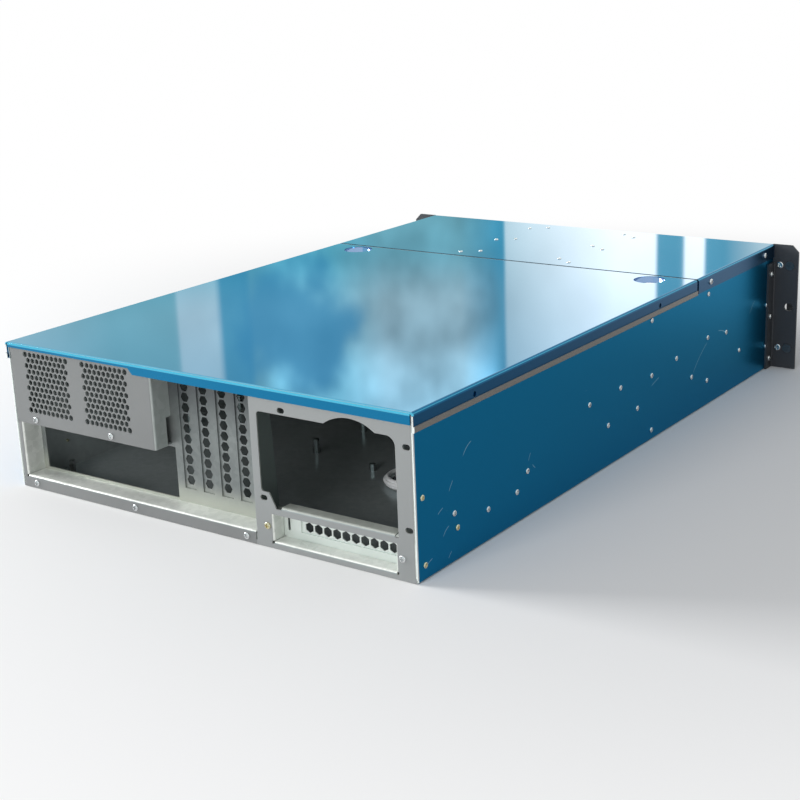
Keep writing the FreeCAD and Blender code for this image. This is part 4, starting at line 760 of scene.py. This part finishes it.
def front_panel_lead():
    """The lead and its small loose coil as one cord, its points and its length."""
    points = [Vector((x, REAR - behind, z)) for x, behind, z in LEAD_ROUTE]
    centre = points[-1] - Vector((COIL_RADIUS, 0, 0))
    for step in range(1, int(COIL_TURNS * COIL_STEPS) + 1):
        turn = step / COIL_STEPS
        angle = 2 * math.pi * turn
        radius = COIL_RADIUS + COIL_WANDER * math.sin(turn * WANDER_PACE)
        if turn > 1:
            radius += COIL_WIDER
        height = COIL_FOOT + COIL_RISE * turn
        points.append(Vector((centre.x + radius * math.cos(angle),
                              centre.y + radius * math.sin(angle), height)))
    curve = bpy.data.curves.new("front_panel_lead_cord", "CURVE")
    curve.dimensions = "3D"
    curve.bevel_depth = LEAD / 2 * MM
    curve.bevel_resolution = 5
    curve.resolution_u = 6
    curve.use_fill_caps = True
    spline = curve.splines.new("NURBS")
    spline.points.add(len(points) - 1)
    for spot, point in zip(spline.points, points):
        spot.co = (*(point * MM), 1)
    spline.order_u = 3
    spline.use_endpoint_u = True
    cord = bpy.data.objects.new("front_panel_lead_cord", curve)
    bpy.context.scene.collection.objects.link(cord)
    curve.materials.append(FINISHES["lead_plastic"])
    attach(cord, "case")
    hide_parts("front_panel_lead", "lead_coil")
    length = sum((b - a).length for a, b in zip(points, points[1:])) * MM
    return cord, points, length


screw_groups()
side_screws()
top_rivets()
thumb_screws()
cord, cord_points, cord_length = front_panel_lead()
for master in (SCREW, HANDLE_SCREW, SIDE_SCREW, RIVET):
    bpy.data.objects.remove(master)


# ---------------------------------------------------------------- floor, light and camera

# The floor is one large plane just under the case, in metres. It turns white between these two
# distances from the case's middle, and keeps a trace of shading beyond.
FLOOR_SIZE, FLOOR_DROP = 60, 0.0002
FADE_FROM, FADE_TO, FADE_MOST = 0.45, 1.1, 0.999


def floor():
    """A pale floor that turns plain white away from the case."""
    bpy.ops.mesh.primitive_plane_add(size=FLOOR_SIZE, location=(0, 0, -FLOOR_DROP))
    ground = bpy.context.object
    ground.name = "floor"
    finish = Finish("pale_floor")
    tree = finish.tree
    away = finish.node("ShaderNodeVectorMath", {"operation": "LENGTH"},
                       {0: finish.place}, "Value")
    seen = finish.node("ShaderNodeLightPath", output="Is Camera Ray")
    for kind in ("Is Glossy Ray", "Is Transmission Ray"):
        seen = seen.either(finish.node("ShaderNodeLightPath", output=kind))
    finish.surface(color=(0.87, 0.87, 0.87, 1.0), roughness=0.9, specular=0.1)
    glow = finish.node("ShaderNodeEmission", inputs={"Color": WHITE})
    share = seen * (finish.rise(away, FADE_FROM, FADE_TO) * FADE_MOST)
    shader = Value(finish, finish.shader.outputs["BSDF"])
    mixed = finish.node("ShaderNodeMixShader", inputs={0: share, 1: shader, 2: glow})
    output = next(node for node in tree.nodes if node.type == "OUTPUT_MATERIAL")
    tree.links.new(mixed.socket, output.inputs["Surface"])
    ground.data.materials.append(finish.material)


# The far wall of the hall that the glossy top mirrors, in five tones: haze, plain hall, shade,
# pale pillars and bright windows. Each stop has its direction, in degrees from the case's front
# towards its left side seen from behind, and its tone.
HAZE, HALL, SHADE = (0.75, 0.9, 0.85), (0.5, 0.9, 0.9), (0.25, 0.7, 0.85)
PALE, WINDOW = (1.1, 1.25, 1.2), (2.5, 2.3, 2.1)
FAR_WALL = [
    (21.0, PALE), (22.0, PALE), (23.4, SHADE), (24.1, SHADE),
    (24.2, WINDOW), (24.9, WINDOW), (25.0, SHADE), (25.9, SHADE),
    (26.0, WINDOW), (27.5, WINDOW), (31.7, PALE), (31.8, SHADE),
    (33.5, HAZE), (36.5, HAZE), (38.5, HALL), (41.6, HALL),
    (41.8, SHADE), (42.8, SHADE), (43.0, PALE), (44.5, PALE),
    (44.6, HALL), (47.0, HALL), (54.0, PALE),
]
WALL_FROM, WALL_TO = FAR_WALL[0][0], FAR_WALL[-1][0]
# The tones go into the ramp divided by this, which keeps them below 1, and come out multiplied.
BRIGHTEST = 3.0

# The open part of the wall, where clouds show in full: it starts and ends at these directions.
OPEN_FROM, OPEN_TO = (31.8, 32.4), (40.5, 41.6)
# The share of the clouds that shows elsewhere, how much brighter the open part is high up, and
# the rises of a direction between which it grows so.
CLOUD_SHARE, HIGH_GAIN, HIGH_RISE = 0.15, 1.1, (0.250, 0.285)
# A blue opening in the clouds: its direction, its edge, and how far clouds fray the edge.
BLUE_WAY, BLUE_EDGE, BLUE_FRAY = (0.624, -0.743, 0.242), (0.062, 0.088), 0.07
BLUE = (0.16, 0.58, 0.82, 1.0)
# The wall's low band is seen through a blue filter, from this direction on and below this rise.
LOW_FROM, LOW_RISE = (31.7, 31.8), (0.195, 0.235)
LOW_FILTER = (0.42, 0.76, 0.84, 1.0)
# Above the wall the hall is plain: grey blue low down and white overhead.
WALL_TOP, PLAIN_RISE, PLAIN_LOW = (0.33, 0.42), (0.2, 0.9), (0.75, 0.8, 0.83, 1.0)
# What lights the case itself, away from gloss.
SOFT_LIGHT = (0.42, 0.43, 0.44, 1.0)


def surroundings():
    """White to the camera; a bright hall for gloss and a weaker soft light for the rest."""
    world = bpy.data.worlds.new("studio")
    bpy.context.scene.world = world
    world.use_nodes = True
    sky = Shading(world.node_tree)
    way = sky.node("ShaderNodeTexCoord", output="Generated")
    x, y, z = sky.axes(way)
    turned = sky.math("ARCTAN2", x, 0 - y) * math.degrees(1)
    stops = []
    for angle, light in FAR_WALL:
        position = (angle - WALL_FROM) / (WALL_TO - WALL_FROM)
        stops.append((position, (*[part / BRIGHTEST for part in light], 1.0)))
    wall = sky.node("ShaderNodeValToRGB", {"stops": stops},
                    {0: (turned - WALL_FROM) / (WALL_TO - WALL_FROM)})

    clouds = sky.noise(11.0, 4.0, 0.55, way)
    drift = sky.noise(26.0, 3.0, 0.5, way)
    open_part = sky.between(turned, OPEN_FROM, OPEN_TO)
    billow = clouds * 2.2 + drift * 1.6 - 1.9
    billow = billow * (open_part * (1 - CLOUD_SHARE) + CLOUD_SHARE) + 1
    billow = billow * (1 + sky.rise(z, *HIGH_RISE) * open_part * HIGH_GAIN)
    wall = sky.stained(wall, billow * BRIGHTEST)

    hole = sky.node("ShaderNodeVectorMath", {"operation": "DISTANCE"},
                    {0: way, 1: BLUE_WAY}, "Value")
    blue = 1 - sky.rise(hole + drift * BLUE_FRAY, *BLUE_EDGE)
    wall = sky.mix(blue * 0.8, wall, BLUE)
    low = sky.filtered(1 - sky.rise(z, *LOW_RISE), wall, LOW_FILTER)
    wall = sky.mix(sky.rise(turned, *LOW_FROM), wall, low)

    plain = sky.mix(sky.rise(z, *PLAIN_RISE), PLAIN_LOW, WHITE)
    plain = sky.stained(plain, clouds * 0.5 + 0.75)
    gloss = sky.mix(sky.rise(z, *WALL_TOP), wall, plain)

    mirrored = sky.node("ShaderNodeLightPath", output="Is Glossy Ray")
    mirrored = mirrored.either(sky.node("ShaderNodeLightPath", output="Is Transmission Ray"))
    light = sky.mix(mirrored, SOFT_LIGHT, gloss)
    light = sky.mix(sky.node("ShaderNodeLightPath", output="Is Camera Ray"), light, WHITE)
    background = sky.node("ShaderNodeBackground", inputs={"Color": light})
    output = sky.tree.nodes.new("ShaderNodeOutputWorld")
    sky.tree.links.new(background.socket, output.inputs["Surface"])


def lamp(name, location, aim, size, power, mirrored=True):
    """A soft rectangular lamp, which the glossy sheets may or may not mirror."""
    light = bpy.data.lights.new(name, "AREA")
    light.shape = "RECTANGLE"
    light.size, light.size_y = size
    light.energy = power
    lamp_object = bpy.data.objects.new(name, light)
    bpy.context.scene.collection.objects.link(lamp_object)
    lamp_object.visible_glossy = mirrored
    lamp_object.location = location
    direction = Vector(aim) - Vector(location)
    lamp_object.rotation_euler = direction.to_track_quat("-Z", "Y").to_euler()


# The camera behind the case and to its right: lens in millimetres, place in metres, and turn in
# degrees.
LENS, SENSOR_WIDTH = 67.68, 36
CAMERA_PLACE = (-0.8018, 1.1718, 0.4516)
CAMERA_TURN = (72.9657, 2.201, -144.6499)


def camera():
    """The scene's camera, behind the case and above it."""
    lens = bpy.data.cameras.new("camera")
    lens.lens = LENS
    lens.sensor_width = SENSOR_WIDTH
    camera_object = bpy.data.objects.new("camera", lens)
    bpy.context.scene.collection.objects.link(camera_object)
    camera_object.location = CAMERA_PLACE
    camera_object.rotation_euler = [math.radians(angle) for angle in CAMERA_TURN]
    bpy.context.scene.camera = camera_object


floor()
surroundings()
lamp("left_softbox", (2.45, 0.95, 1.0), (0, 0.05, 0.06), (1.2, 0.8), 72)
lamp("rear_softbox", (-0.2, 2.7, 0.85), (-0.05, 0.3, 0.05), (1.4, 0.7), 38, mirrored=False)
camera()
bpy.context.scene.view_settings.view_transform = "Standard"
